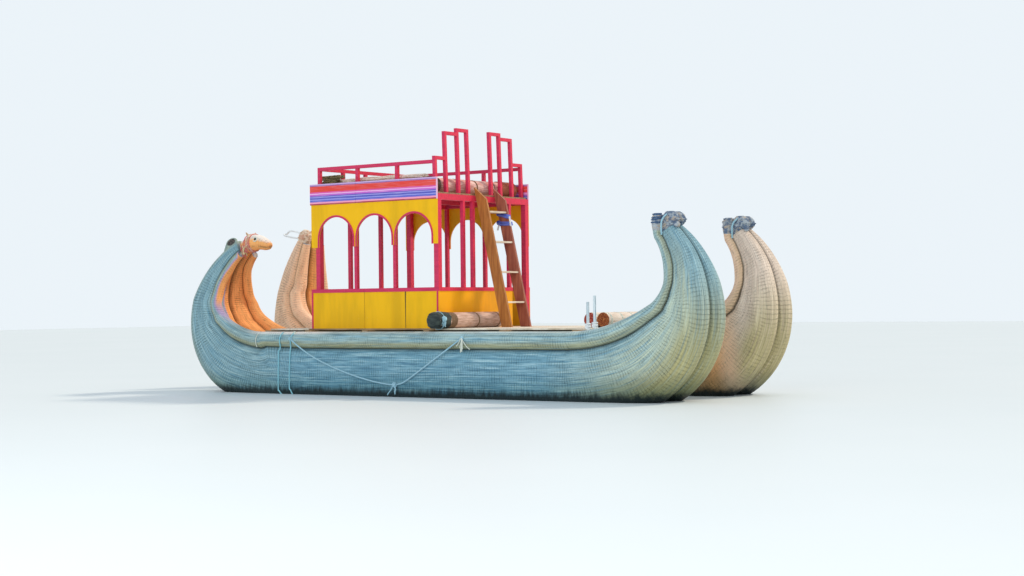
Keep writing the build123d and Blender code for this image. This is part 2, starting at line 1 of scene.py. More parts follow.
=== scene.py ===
import json
from functools import partial
from math import atan2, ceil, cos, degrees, exp, hypot, pi, radians, sin, sqrt
from random import seed, uniform

import bpy
import numpy as np
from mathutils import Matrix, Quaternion, Vector


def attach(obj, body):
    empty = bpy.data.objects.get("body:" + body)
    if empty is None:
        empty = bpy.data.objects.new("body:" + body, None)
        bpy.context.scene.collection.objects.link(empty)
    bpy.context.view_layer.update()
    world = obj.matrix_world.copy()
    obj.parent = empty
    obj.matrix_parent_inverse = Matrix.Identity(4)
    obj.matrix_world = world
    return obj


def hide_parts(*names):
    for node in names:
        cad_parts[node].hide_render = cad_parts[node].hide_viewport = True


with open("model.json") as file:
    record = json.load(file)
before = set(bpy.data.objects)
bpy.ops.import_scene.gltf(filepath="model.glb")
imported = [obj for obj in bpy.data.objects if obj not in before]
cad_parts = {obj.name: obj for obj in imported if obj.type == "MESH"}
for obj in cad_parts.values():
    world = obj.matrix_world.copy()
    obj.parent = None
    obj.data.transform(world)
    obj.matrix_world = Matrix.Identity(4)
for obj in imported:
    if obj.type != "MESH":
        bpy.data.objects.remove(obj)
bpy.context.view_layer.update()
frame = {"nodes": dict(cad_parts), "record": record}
scene = bpy.context.scene
link = scene.collection.objects.link
seed(7)

# Sizes are in metres: X towards the bow, Y to port, Z up from the keels.
# Height of the water, the stage's floor
WATER = 0.32
# The sky's strength as light, and as the camera sees it
SKY = 0.72
BACKDROP = 0.95
Socket = bpy.types.NodeSocket
# Materials by name
LOOKS = {}


# Camera, as it was fitted to the cabin's corners in the photo

CAMERA_PLACE = (17.652, -23.216, 1.75)
CAMERA_TURN = 36
CAMERA_PITCH = 0.548
CAMERA_ROLL = -0.0113
LENS = 62.44


def make_camera():
    data = bpy.data.cameras.new("camera")
    data.sensor_width = 36
    data.lens = LENS
    data.clip_end = 500
    camera = bpy.data.objects.new("camera", data)
    link(camera)
    camera.location = CAMERA_PLACE
    turn, pitch = radians(CAMERA_TURN), radians(CAMERA_PITCH)
    level = cos(pitch)
    forward = Vector((-sin(turn) * level, cos(turn) * level, sin(pitch)))
    camera.rotation_mode = "QUATERNION"
    camera.rotation_quaternion = forward.to_track_quat("-Z", "Y") @ Quaternion((0, 0, 1), CAMERA_ROLL)
    scene.camera = camera


# Shader helpers

def fill(node, sockets):
    """Sets a node's inputs, or links them where the value is a socket."""
    for key, value in sockets.items():
        socket = node.inputs[key]
        if isinstance(value, Socket):
            node.id_data.links.new(value, socket)
        else:
            socket.default_value = (*value, 1) if socket.type == "RGBA" else value


def put(kind, sockets, tree=None, **settings):
    """A node with its settings and inputs, in the tree of the sockets that it is linked to."""
    tree = tree or next(value.id_data for value in sockets.values() if isinstance(value, Socket))
    node = tree.nodes.new(kind)
    for key, value in settings.items():
        setattr(node, key, value)
    fill(node, sockets)
    return node


def mix(factor, a, b, blend="MIX"):
    return put("ShaderNodeMix", {0: factor, 6: a, 7: b}, data_type="RGBA", blend_type=blend).outputs[2]


def tinted(color, tint):
    return mix(1, color, tint, "MULTIPLY")


def math_node(operation, a, b):
    return put("ShaderNodeMath", {0: a, 1: b}, operation=operation).outputs[0]


times, plus, minus = (partial(math_node, operation) for operation in ("MULTIPLY", "ADD", "SUBTRACT"))


def rise(value, start, end):
    """0 before start and 1 past end."""
    sockets = {"Value": value, "From Min": start, "From Max": end}
    return put("ShaderNodeMapRange", sockets, interpolation_type="SMOOTHSTEP").outputs[0]


def patches(color, other, value, start, end, share=None):
    """Turns a colour into the other one where the value rises, up to a share."""
    amount = rise(value, start, end)
    return mix(times(amount, share) if share else amount, color, other)


def noise(vector, scale, detail=3, roughness=0.55):
    sockets = {"Vector": vector, "Scale": scale, "Detail": detail, "Roughness": roughness}
    return put("ShaderNodeTexNoise", sockets).outputs[0]


def streaky(vector, size, detail=3, roughness=0.55, place=(0, 0, 0)):
    """Noise that is as fine along each axis as size says."""
    mapped = put("ShaderNodeMapping", {"Vector": vector, "Scale": size, "Location": place}).outputs[0]
    return noise(mapped, 1, detail, roughness)


def axes_of(vector):
    return put("ShaderNodeSeparateXYZ", {"Vector": vector}).outputs


def attribute(tree, name):
    return axes_of(put("ShaderNodeAttribute", {}, tree, attribute_name=name).outputs["Vector"])


def new_look(name):
    """Starts a look, and returns the place on the object as a socket."""
    material = bpy.data.materials.new(name)
    material.use_nodes = True
    LOOKS[name] = material
    return material.node_tree.nodes.new("ShaderNodeTexCoord").outputs["Object"]


def finish(color, rough, height, distance, specular=0.5):
    """Ends a look. Its relief is height times distance."""
    bump = put("ShaderNodeBump", {"Height": height, "Distance": distance})
    fill(bump.id_data.nodes["Principled BSDF"], {
        "Base Color": color, "Roughness": rough, "Specular IOR Level": specular, "Normal": bump.outputs[0]})


# Looks

# Metres between the rings of cord round a bundle
RING_STEP = 0.046
# The ladder's planks part here, across the boat
LADDER_MIDDLE = 0.035
FASCIA_FOOT = 3.445
# The fascia's stripes end here, at its fore end
FASCIA_END = 0.232


def reed_tints(flat, color, streaks, cream, olive, half_lit_tint, sunlit_tint):
    """Adds the tints that the surface's marks and tones give: cream that is partly painted light, olive,
    painted warm sunlight and a painted highlight.
    """
    marks, tones = attribute(flat.id_data, "marks"), attribute(flat.id_data, "tones")
    vary = plus(times(streaks, 1.3), 0.38)
    patchy = rise(streaky(flat, (1.5, 25, 1), 4, 0.65, (2, 5, 0)), 0.22, 0.6)
    # Cream: a tone of the reed, and painted light on faces turned to port.
    color = mix(times(tones[0], patchy), color, tinted(cream, vary))
    patchy = plus(times(patchy, 0.45), 0.55)
    color = mix(times(marks[0], patchy), color, tinted(olive, vary))
    # Painted warm sunlight, deepening as the third mark rises.
    painted_sunlight = patches(half_lit_tint, tinted(sunlit_tint, vary), marks[2], 0.4, 0.85)
    color = patches(color, painted_sunlight, marks[2], 0.02, 0.42)
    # Painted highlight where the second tone is high.
    color = mix(tones[1], color, (1, 0.96, 0.9))
    return color, marks[1], tones[2]


def lashings(flat):
    """Fine rings of cord round the bundle, uneven in strength."""
    along = plus(axes_of(flat)[0], times(noise(flat, 5, 2), 0.05))
    ring = math_node("PINGPONG", math_node("DIVIDE", along, RING_STEP), 0.5)
    uneven = rise(streaky(flat, (3, 6, 1), 3, 0.7), 0.34, 0.66)
    return times(rise(ring, 0.17, 0.03), uneven)


def wet_edge(color, place):
    """Dark wet reed at the waterline, with streaks drawn up from it."""
    drawn = streaky(place, (13, 13, 3), 5, 0.7)
    ragged = minus(axes_of(place)[2], times(drawn, 0.2))
    stained = tinted(color, (0.34, 0.5, 0.48))
    color = patches(color, stained, ragged, WATER + 0.36, WATER - 0.02, 0.6)
    damp = rise(ragged, WATER + 0.085, WATER - 0.055)
    return mix(times(damp, 0.97), color, (0.003, 0.012, 0.014)), damp


def reed(name, tones, *tints):
    """Bound reeds. The map runs along and round the bundle in metres. The marks hold a point's
    olive share, its painted shade in the seams between bundles and under the rolls, and its painted warm
    sunlight; the tones its cream share (partly painted light), its painted highlight and its ring share."""
    place = new_look(name)
    flat = place.node.outputs["UV"]
    streaks = streaky(flat, (1.3, 34, 1), 5, 0.7)
    fine = streaky(flat, (6, 120, 1), 2, 0.6)
    ramp = put("ShaderNodeValToRGB", {"Fac": streaks})
    stops = ramp.color_ramp.elements
    stops.new(0.5)
    for stop, level, tone in zip(stops, (0.32, 0.5, 0.68), tones):
        stop.position = level
        stop.color = (*tone, 1)
    color, dark, ring_share = reed_tints(flat, ramp.outputs[0], streaks, *tints)
    flecks = streaky(flat, (5, 32, 1), 3, 0.7, (3, 9, 0))
    color = patches(color, tinted(color, (0.26, 0.34, 0.38)), flecks, 0.59, 0.72, 0.62)
    color = patches(color, tinted(color, (0.42, 0.45, 0.45)), fine, 0.5, 0.74, 0.4)
    ring = lashings(flat)
    color = mix(times(ring, ring_share), color, tinted(color, (0.3, 0.34, 0.3)))
    # Painted shade in the seams between the bundles and under the rolls.
    color = mix(dark, color, (0.03, 0.034, 0.024))
    color, damp = wet_edge(color, place)
    height = minus(plus(times(fine, 0.5), times(streaks, 0.9)), times(ring, 0.8))
    finish(color, minus(0.8, times(damp, 0.3)), height, 0.012, 0.25)


def paint(name, color, shade, worn=(0.8, 0.62, 0.52), gloss=0.34, grain=(3, 30, 30)):
    """Brushed paint on timber, with painted shade: faces turned to starboard take the shade colour."""
    place = new_look(name)
    brush = streaky(place, grain, 4, 0.6)
    cloud = noise(place, 2.2, 3, 0.6)
    normal = place.id_data.nodes.new("ShaderNodeNewGeometry").outputs["Normal"]
    facing = put("ShaderNodeVectorMath", {0: normal, 1: (0, -1, 0)}, operation="DOT_PRODUCT")
    # Painted shade on faces turned to starboard.
    base = patches(color, shade, facing.outputs["Value"], 0.35, 0.9, 0.92)
    deep = tinted(base, (0.8, 0.8, 0.8))
    base = patches(deep, base, brush, 0.3, 0.62)
    base = patches(base, deep, cloud, 0.5, 0.78, 0.3)
    base = patches(base, worn, noise(place, 55, 3, 0.7), 0.69, 0.75, 0.5)
    finish(base, plus(gloss, times(cloud, 0.2)), brush, 0.0015, 0.28)


def plank(name, dark, light, grain=(2, 45, 45), rough=0.7, port_tones=None):
    """Bare timber, which may take other tones to port of the ladder's middle."""
    place = new_look(name)
    lines = streaky(place, grain, 5, 0.65)
    cloud = noise(place, 3, 3)

    def tone(dark, light):
        color = patches(dark, light, lines, 0.32, 0.7)
        return patches(color, [c * 0.6 for c in dark], cloud, 0.5, 0.75, 0.35)

    color = tone(dark, light)
    if port_tones:
        across = axes_of(place)[1]
        color = patches(color, tone(*port_tones), across, LADDER_MIDDLE - 0.01, LADDER_MIDDLE + 0.01)
    finish(color, rough, lines, 0.002)


STRIPES = [
    # lower edge above the fascia's bottom, colour
    (0, (0.42, 0.02, 0.05)), (0.02, (0.95, 0.34, 0.5)), (0.048, (0.11, 0.13, 0.6)),
    (0.08, (0.4, 0.42, 0.88)), (0.09, (0.09, 0.1, 0.52)), (0.122, (0.46, 0.46, 0.9)),
    (0.131, (0.15, 0.1, 0.52)), (0.152, (0.6, 0.13, 0.62)), (0.176, (0.9, 0.52, 0.86)),
    (0.19, (0.74, 0.1, 0.42)), (0.212, (0.8, 0.045, 0.03)), (0.308, (0.3, 0.14, 0.4)),
    (0.326, (0.62, 0.42, 0.74))]


def stripes(name):
    """Painted bands along the fascia, with a pale strip at its fore end."""
    place = new_look(name)
    x, _, z = axes_of(place)
    level = plus(minus(z, FASCIA_FOOT), times(streaky(place, (9, 9, 1), 2), 0.007))
    color = STRIPES[0][1]
    for height, tone in STRIPES[1:]:
        color = patches(color, tone, level, height + 0.001, height + 0.006)
    brush = streaky(place, (3, 3, 60), 4)
    color = patches(color, (0.9, 0.75, 0.85), brush, 0.45, 0.8, 0.25)
    color = patches(color, (0.8, 0.5, 0.68), x, FASCIA_END - 0.002, FASCIA_END + 0.002)
    finish(color, 0.45, brush, 0.001)


def mat(name, dark, light, grain=(60, 5, 60)):
    place = new_look(name)
    lines = streaky(place, grain, 5, 0.7)
    color = patches(dark, light, lines, 0.3, 0.72)
    color = patches(color, dark, noise(place, 7, 3), 0.55, 0.75, 0.4)
    finish(color, 0.85, lines, 0.006)


def cord(name, color, dark=0.5):
    place = new_look("cord_" + name)
    sockets = {"Vector": place, "Scale": 28, "Distortion": 2, "Detail": 1}
    twist = put("ShaderNodeTexWave", sockets, bands_direction="DIAGONAL").outputs[1]
    tone = mix(twist, [c * dark for c in color], color)
    tone = mix(times(noise(place, 260, 2), 0.35), tone, [min(1, c * 1.3) for c in color])
    finish(tone, 0.8, twist, 0.003)


def bound(name, color, blotch, other):
    """Reed ends under wraps of cord and cloth, in blotches of three tones."""
    place = new_look(name)
    deep = [c * 0.3 for c in color]
    color = patches(color, blotch, noise(place, 14, 3, 0.6), 0.4, 0.56)
    moved = put("ShaderNodeMapping", {"Vector": place, "Location": (5, 2, 1)}).outputs[0]
    color = patches(color, other, noise(moved, 11.2, 3, 0.6), 0.5, 0.62)
    wraps = streaky(place, (4, 4, 70), 3, 0.6)
    color = patches(color, deep, wraps, 0.55, 0.7, 0.45)
    finish(color, 0.8, wraps, 0.012)


def cut_ends(name, light, dark, scale=75):
    place = new_look(name)
    cells = put("ShaderNodeTexVoronoi", {"Vector": place, "Scale": scale}).outputs["Distance"]
    color = patches(light, dark, cells, 0.12, 0.55)
    color = mix(times(noise(place, 12, 3), 0.5), color, dark)
    finish(color, 0.9, cells, 0.01)


def cloth(name, dark, light):
    place = new_look(name)
    creases = streaky(place, (5, 5, 16), 4, 0.6)
    color = patches(dark, light, creases, 0.35, 0.68)
    finish(color, 0.85, plus(creases, times(noise(place, 320, 1), 0.15)), 0.015)


# Two copies of one reed: painted shade for the starboard hull, painted light for the port hull.
reed("reed_shaded", ((0.05, 0.16, 0.26), (0.17, 0.39, 0.53), (0.46, 0.7, 0.78)), (0.56, 0.64, 0.5),
     (0.46, 0.42, 0.2), (0.46, 0.38, 0.62), (1, 0.44, 0.15))
reed("reed_lit", ((0.42, 0.32, 0.26), (0.76, 0.58, 0.47), (0.99, 0.87, 0.75)), (0.86, 0.74, 0.62),
     (0.42, 0.36, 0.13), (1, 0.66, 0.44), (1, 0.47, 0.16))
bound("bound_ends", (0.42, 0.47, 0.51), (0.11, 0.16, 0.25), (0.46, 0.4, 0.34))
bound("pale_bound_ends", (0.55, 0.36, 0.22), (0.88, 0.72, 0.55), (0.7, 0.4, 0.28))
paint("paint_red", (0.8, 0.035, 0.085), (0.66, 0.036, 0.12))
paint("paint_yellow", (1, 0.44, 0), (0.95, 0.53, 0), (0.9, 0.75, 0.4), 0.42, (2.5, 2.5, 0.5))
stripes("paint_stripes")
plank("timber", (0.2, 0.12, 0.06), (0.45, 0.3, 0.16))
plank("ladder_timber", (0.3, 0.1, 0.015), (0.5, 0.2, 0.04), (30, 30, 2), 0.55,
      ((0.24, 0.055, 0.035), (0.42, 0.14, 0.075)))
plank("tread_timber", (0.62, 0.48, 0.36), (0.9, 0.8, 0.66), (40, 3, 40))
plank("pin_timber", (0.34, 0.45, 0.52), (0.82, 0.9, 0.92), (40, 40, 3))
plank("eye_paint", (0.01, 0.01, 0.012), (0.03, 0.03, 0.03), rough=0.25)
plank("gap_shadow", (0.05, 0.035, 0.01), (0.12, 0.08, 0.02))
mat("deck_mat", (0.55, 0.46, 0.34), (0.95, 0.9, 0.8), (3, 60, 3))
mat("seat_reeds", (0.42, 0.24, 0.17), (0.8, 0.58, 0.48))
mat("seat_reeds_rose", (0.5, 0.17, 0.14), (0.95, 0.68, 0.6))
mat("seat_reeds_pale", (0.62, 0.48, 0.38), (0.95, 0.88, 0.8))
mat("seat_reeds_green", (0.05, 0.06, 0.02), (0.34, 0.28, 0.12), (20, 20, 60))
mat("seat_reeds_brown", (0.2, 0.12, 0.06), (0.62, 0.46, 0.32), (20, 20, 60))
cut_ends("seat_ends", (0.45, 0.3, 0.18), (0.05, 0.03, 0.02))
cut_ends("seat_ends_red", (0.95, 0.38, 0.28), (0.3, 0.03, 0.02))
cut_ends("seat_ends_rust", (1, 0.42, 0.12), (0.22, 0.04, 0.01))
cut_ends("dark_ends", (0.5, 0.36, 0.27), (0.05, 0.055, 0.06), 90)
cloth("dark_cloth", (0.012, 0.02, 0.022), (0.055, 0.075, 0.065))
cloth("blue_cloth", (0.03, 0.06, 0.34), (0.14, 0.2, 0.66))
cord("blue", (0.42, 0.7, 0.85))
cord("sky", (0.3, 0.66, 0.76), 0.8)
cord("dark", (0.05, 0.12, 0.26))
cord("pale", (0.8, 0.86, 0.74), 0.7)
cord("pink", (0.8, 0.22, 0.2))
cord("rust", (0.55, 0.16, 0.08), 0.35)
cord("dark_brown", (0.1, 0.06, 0.035))
cord("brown", (0.3, 0.18, 0.1))
cord("straw", (0.95, 0.74, 0.42), 0.6)
cord("white", (0.9, 0.94, 0.96), 0.75)


# Mesh helpers

def step(value, start, end):
    """0 before start and 1 past end, smoothly."""
    t = np.clip((value - start) / (end - start), 0, 1)
    return t * t * (3 - 2 * t)


def turns(count):
    return [2 * pi * k / count for k in range(count)]


def smooth_rows(rows, parts):
    """Rows of numbers on a smooth curve, with parts steps between each pair."""
    rows = np.array(rows, dtype=float)
    padded = np.vstack([2 * rows[0] - rows[1], rows, 2 * rows[-1] - rows[-2]])
    result = []
    for a, b, c, d in zip(padded, padded[1:], padded[2:], padded[3:]):
        for part in range(parts):
            t = part / parts
            result.append(0.5 * (2 * b + (c - a) * t + (2 * a - 5 * b + 4 * c - d) * t ** 2
                                 + (3 * b - a - 3 * c + d) * t ** 3))
    return np.array(result + [rows[-1]])


def keep(piece, looks, slot, *replaced):
    """Links a piece with its looks, in place of the CAD nodes it replaces. Its slot is not used."""
    link(piece)
    for look in looks.split():
        piece.data.materials.append(LOOKS[look])
    if piece.type == "MESH":
        piece.data.shade_smooth()
        piece.data.set_sharp_from_angle(angle=radians(40))
    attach(piece, "root")
    if replaced:
        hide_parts(*replaced)
    return piece


def mesh_piece(name, points, faces, indices=None):
    mesh = bpy.data.meshes.new(name)
    mesh.from_pydata(np.asarray(points, dtype=float).tolist(), [], faces)
    if indices is not None:
        mesh.polygons.foreach_set("material_index", indices)
    mesh.update()
    return bpy.data.objects.new(name, mesh)


def skin(name, loops, looks, slot, *replaced, tint=None, given=0, second=()):
    """A closed tube through loops of points, with a map in metres along and round it. tint
    turns points, normals and given numbers into marks and tones. Rows in second take the
    second look, and with them the ends."""
    loops = np.array(loops, dtype=float)
    rows, count = loops.shape[:2]
    steps = np.linalg.norm(np.diff(loops.mean(axis=1), axis=0), axis=1)
    along = np.concatenate([[0], np.cumsum(steps)])
    closed = np.concatenate([loops, loops[:, :1]], axis=1)
    around = np.cumsum(np.linalg.norm(np.diff(closed, axis=1), axis=2), axis=1)
    around = np.concatenate([[0], around[np.argmax(around[:, -1])]])
    i, j = np.divmod(np.arange((rows - 1) * count), count)
    row, column = np.stack([i, i + 1, i + 1, i], 1), np.stack([j, j, j + 1, j + 1], 1)
    points = loops.reshape(-1, 3)
    quads = row * count + column % count
    uvs = np.stack([along[row], around[column]], 2)
    a, b, c, d = (points[quads[:, k]] - points.mean(axis=0) for k in range(4))
    inside_out = np.sum(np.cross(b, c) * a) + np.sum(np.cross(c, d) * a) < 0
    if inside_out:
        quads, uvs = quads[:, ::-1], uvs[:, ::-1]
    faces, corners = quads.tolist(), uvs.reshape(-1, 2).tolist()
    indices = [int(r in second) for r in i.tolist()]
    for end in (0, rows - 1):
        order = list(range(count))
        if (end == 0) == inside_out:
            order.reverse()
        faces.append([end * count + j for j in order])
        corners += [(along[end], around[j]) for j in order]
        indices.append(int(bool(second)))
    piece = mesh_piece(name, points, faces, indices)
    mesh = piece.data
    mesh.uv_layers.new(name="reeds").data.foreach_set("uv", np.array(corners, dtype=np.float32).ravel())
    if tint:
        normals = np.zeros(points.size, dtype=np.float32)
        mesh.vertex_normals.foreach_get("vector", normals)
        tinting = tint(points, normals.reshape(-1, 3), np.zeros(len(points)) + np.ravel(given))
        for label, values in zip(("marks", "tones"), tinting):
            table = np.stack([np.broadcast_to(value, len(points)) for value in values], 1)
            layer = mesh.attributes.new(label, "FLOAT_VECTOR", "POINT")
            layer.data.foreach_set("vector", table.astype(np.float32).ravel())
    keep(piece, looks, slot, *replaced)


def cord_loops(path, radius, closed, sides):
    path = np.array(path, dtype=float)
    ahead = np.roll(path, -1, 0) - np.roll(path, 1, 0) if closed else np.gradient(path, axis=0)
    ahead /= np.linalg.norm(ahead, axis=1)[:, None] + 1e-12
    side = np.cross(ahead[0], (0.31, 0.52, 0.79))
    rings = []
    for point, direction, size in zip(path, ahead, np.broadcast_to(radius, len(path))):
        side = side - direction * np.dot(side, direction)
        side = side / np.linalg.norm(side)
        other = np.cross(direction, side)
        rings.append([point + size * (side * cos(t) + other * sin(t)) for t in turns(sides)])
    return np.array(rings)


def tie(name, paths, radius, look, closed=True, sides=7, slot="rope", replaced=()):
    """Many lengths of cord as one piece of the boat."""
    points, faces = [], []
    for path in paths:
        rings = cord_loops(path, radius, closed, sides)
        start, rows = len(points), len(rings)
        points += rings.reshape(-1, 3).tolist()
        for i in range(rows if closed else rows - 1):
            for j in range(sides):
                corner = [(i, j), (i, j + 1), (i + 1, j + 1), (i + 1, j)]
                faces.append([start + (r % rows) * sides + c % sides for r, c in corner])
        if not closed:
            faces.append([start + j for j in reversed(range(sides))])
            faces.append([start + (rows - 1) * sides + j for j in range(sides)])
    return keep(mesh_piece(name, points, faces), look, slot, *replaced)


def ring_path(centre, normal, size, count=24, wobble=0):
    """A closed circle, or ellipse where size is a pair, round a centre."""
    normal = Vector(normal).normalized()
    a = (Vector((0, 1, 0)).cross(normal) if abs(normal.y) < 0.9 else normal.orthogonal()).normalized()
    b = normal.cross(a)
    wide, tall = size if isinstance(size, tuple) else (size, size)
    return [Vector(centre) + a * wide * cos(t) + b * tall * sin(t)
            + normal * wobble * sin(2 * t) for t in turns(count)]


def knot(name, centre, size, look, *replaced):
    paths = []
    for _ in range(7):
        normal = Vector((uniform(-1, 1), uniform(-1, 1), uniform(-1, 1)))
        paths.append(ring_path(centre, normal, size * uniform(0.55, 0.72), 16))
    return tie(name, paths, size * 0.3, look, replaced=replaced)


def strand(start, end, sag, parts=10, sway=0):
    """A length of cord from start to end with a sag, swaying a little."""
    start, end = Vector(start), Vector(end)
    path = []
    for k in range(parts + 1):
        t = k / parts
        point = start.lerp(end, t)
        point.z -= sag * 4 * t * (1 - t)
        point.x += sway * sin(t * 5)
        path.append(point)
    return path


# Hull shape

HALF = 5.12
DEPTH = 1.35
# Width of a bundle and radius of a gunwale roll amidships
BUNDLE = 0.59
ROLL = 0.14
# How far a roll stands out past its bundle, and how deep it sits, in radii
OVERHANG = 0.03
SEAT = 1.2
HULL_Y = 1.045
SIGN = {"starboard": -1, "port": 1}
# The starboard hull takes the shaded reed, painted shade, and the port hull the lit reed, painted light.
REEDS = {"starboard": "reed_shaded", "port": "reed_lit"}
# Degrees of slope between two sections
KEEL_STEP = 3
GUNWALE_STEP = 4
# Rows of a roll that are bound at its bow tip
TIP_ROWS = 11
# In from the end, height where it stands upright, and the radii of its gentle arc, its
# sweep and its way back
KEEL_BOW = (0, 1.62, 7, 1.5, 1.65)
KEEL_STERN = (0, 1.54, 7, 1.35, 1.48)
KEEL_PORT_STERN = (0, 1.54, 7, 1.35, 2.8)
GUNWALE_BOW = (0.675, 0.7, 2.6, 0.38, 1)
GUNWALE_STERN = (0.76, 0.63, 1.6, 0.45, 0.85)
GUNWALE_PORT_STERN = (0.66, 0.7, 1.6, 0.45, 6)
BOW = [
    # keel slope, gunwale slope, width, roll
    (0, 0, 1, 1), (6, 0, 1, 1), (12, 12, 1, 1), (45, 20, .96, 1), (70, 26, .9, .97), (90, 34, .83, .92),
    (105, 58, .73, .79), (120, 99, .52, .66), (132, 115, .4, .56), (140, 130, .295, .5)]
STERN = [
    (0, 0, 1, 1), (10, 0, 1, 1), (15, 7, .99, .98), (45, 20, .97, .93), (70, 29, .95, .86),
    (90, 42, .91, .78), (105, 70, .87, .7), (120, 96, .68, .64), (140, 118, .455, .58), (158, 139, .35, .46)]
PORT_STERN = STERN[:4] + [
    (70, 31, .95, .86), (90, 50, .91, .78), (100, 86, .8, .68), (110, 92, .62, .6), (121, 98, .385, .5)]
# Ahead, up and radius share
ROLL_TIP = [
    (-.008, .05, 1.03), (-.014, .14, 1.17), (-.016, .22, 1.2), (-.014, .29, 1.03), (-.011, .328, .64)]
# Ahead, up, lean, width share and depth share
BOW_KNOB = [
    (.02, .075, 15, 1, 1.05), (.048, .155, 0, 1, 1.02), (.048, .225, 0, .85, .8), (.04, .27, 0, .5, .42)]
STERN_KNOB = [(-.023, .077, 17, .98, 1), (-.047, .153, 17, .84, .82), (-.067, .22, 17, .46, .42)]


def line_point(line, slope):
    """Where a keel or gunwale line has a slope, in degrees."""
    inward, upright, gentle, sweep, back = line
    end = HALF - inward
    flat = sqrt((gentle - sweep) ** 2 - (gentle - upright) ** 2)
    meet = degrees(atan2(flat, gentle - upright))
    angle = radians(slope)
    if slope < meet:
        return end - sweep - flat + gentle * sin(angle), gentle * (1 - cos(angle))
    if slope <= 90:
        return end - sweep + sweep * sin(angle), upright - sweep * cos(angle)
    return end - back * (1 - sin(angle)), upright - back * cos(angle)


def stations(table, keel, gunwale):
    """Sections as (x, z, up x, up z, depth, width, roll), for an end at +X."""
    rows = [table[0]]
    for row, following in zip(table, table[1:]):
        parts = ceil(max((following[0] - row[0]) / KEEL_STEP, (following[1] - row[1]) / GUNWALE_STEP))
        for part in range(1, parts + 1):
            rows.append([a + (b - a) * part / parts for a, b in zip(row, following)])
    result = []
    for keel_slope, gunwale_slope, width, roll in rows:
        x, z = line_point(keel, keel_slope)
        top_x, lift = line_point(gunwale, gunwale_slope)
        across, up = (x - top_x if keel_slope else 0), DEPTH + lift - z
        deep = hypot(across, up)
        result.append((x, z, -across / deep, up / deep, deep, width * BUNDLE, roll * ROLL))
    return result


def whole_hull(stern_rows, bow_rows, runs=14):
    """Sections from the stern's tip to the bow's tip."""
    rows = [(-x, z, -ux, *rest) for x, z, ux, *rest in reversed(stern_rows)]
    x0, x1 = rows[-1][0], bow_rows[0][0]
    rows += [(x0 + (x1 - x0) * part / runs, *bow_rows[0][1:]) for part in range(1, runs)]
    return rows + bow_rows


def bundle_outline(depth, width, arc=16, side=8):
    """Half of the twin bundle in its section plane, as (across, up) points."""
    cap = 0.53 * width
    centre = width - cap
    notch = cap - sqrt(cap ** 2 - centre ** 2)
    first = atan2(notch - cap, -centre)
    angles = [first * (1 - k / arc) for k in range(arc + 1)]
    points = [(centre + cap * cos(t), cap + cap * sin(t)) for t in angles]
    points += [(width, cap + (depth - 2 * cap) * k / side) for k in range(1, side)]
    points += [(centre + cap * cos(t), depth - cap - cap * sin(t)) for t in reversed(angles)]
    return points


def hull_y(side, place, across):
    """Y of a point that lies so far outward or inward from a hull's middle."""
    return SIGN[side] * (HULL_Y + (across if place == "outer" else -across))


# Tints by place on the hulls, with painted shade, painted warm sunlight and painted highlights

def shares(x):
    """How far a place belongs to the bow and to the stern."""
    return step(x, 2.2, 4.4), step(x, -2.2, -3.4)


def bundle_tint(side, place):
    def tint(points, normals, given):
        marks, tones = [0, 0, 0], [0, 0, 0]
        x, _, z = points.T
        up, groove = np.floor(given) / 1000, given % 1
        bow, stern = shares(x)
        # Upper faces of the stern turned towards the bow take painted warm sunlight.
        cupped = stern * step(normals[:, 0], -0.05, 0.3) * step(up, 0.5, 0.72)
        # Painted shade in the seams, and the bow darker towards its bottom.
        marks[1] = np.maximum(groove, bow * step(z, 0.9, 0.45) * 0.3)
        if side == "starboard":
            marks[0] = bow * step(up, 0.55, 0.15) * step(z, 2.4, 1) * 0.98
            marks[0] += stern * step(up, 0.35, 0.05) * 0.45
            marks[2] = cupped if place == "inner" else cupped * step(normals[:, 1], -0.15, 0.2)
            middle = step(up, 0.06, 0.4) * step(up, 0.95, 0.64) * step(z, 3, 1.9)
            tones[0] = 0.08 + bow * (0.17 + 0.7 * middle) + 0.2 * stern
            # Faces turned to port take cream: painted light.
            tones[0] = np.maximum(tones[0], step(normals[:, 1], 0.05, 0.55) * (1 - 0.5 * bow))
        else:
            # Painted warm sunlight at the stern and low on the bow.
            low_bow = bow * step(z, 2.2, 0.9) * step(x, 4.85, 4.15)
            marks[0] = bow * step(up, 0.6, 0.15) * step(z, 2.4, 1.1) * step(x, 4.1, 4.8) * 0.8
            if place == "inner":
                marks[2] = cupped * 0.2 + stern * 0.3 + low_bow * 0.72
            else:
                marks[2] = cupped * 0.85 + stern * 0.2 * (1 - cupped)
            tones[0] = 0.25 + 0.3 * bow
        tones[2] = 0.36 + 0.24 * step(up, 0.75, 0.2) * (1 - bow) * (1 - stern) + 0.22 * stern - 0.12 * bow
        return marks, tones
    return tint


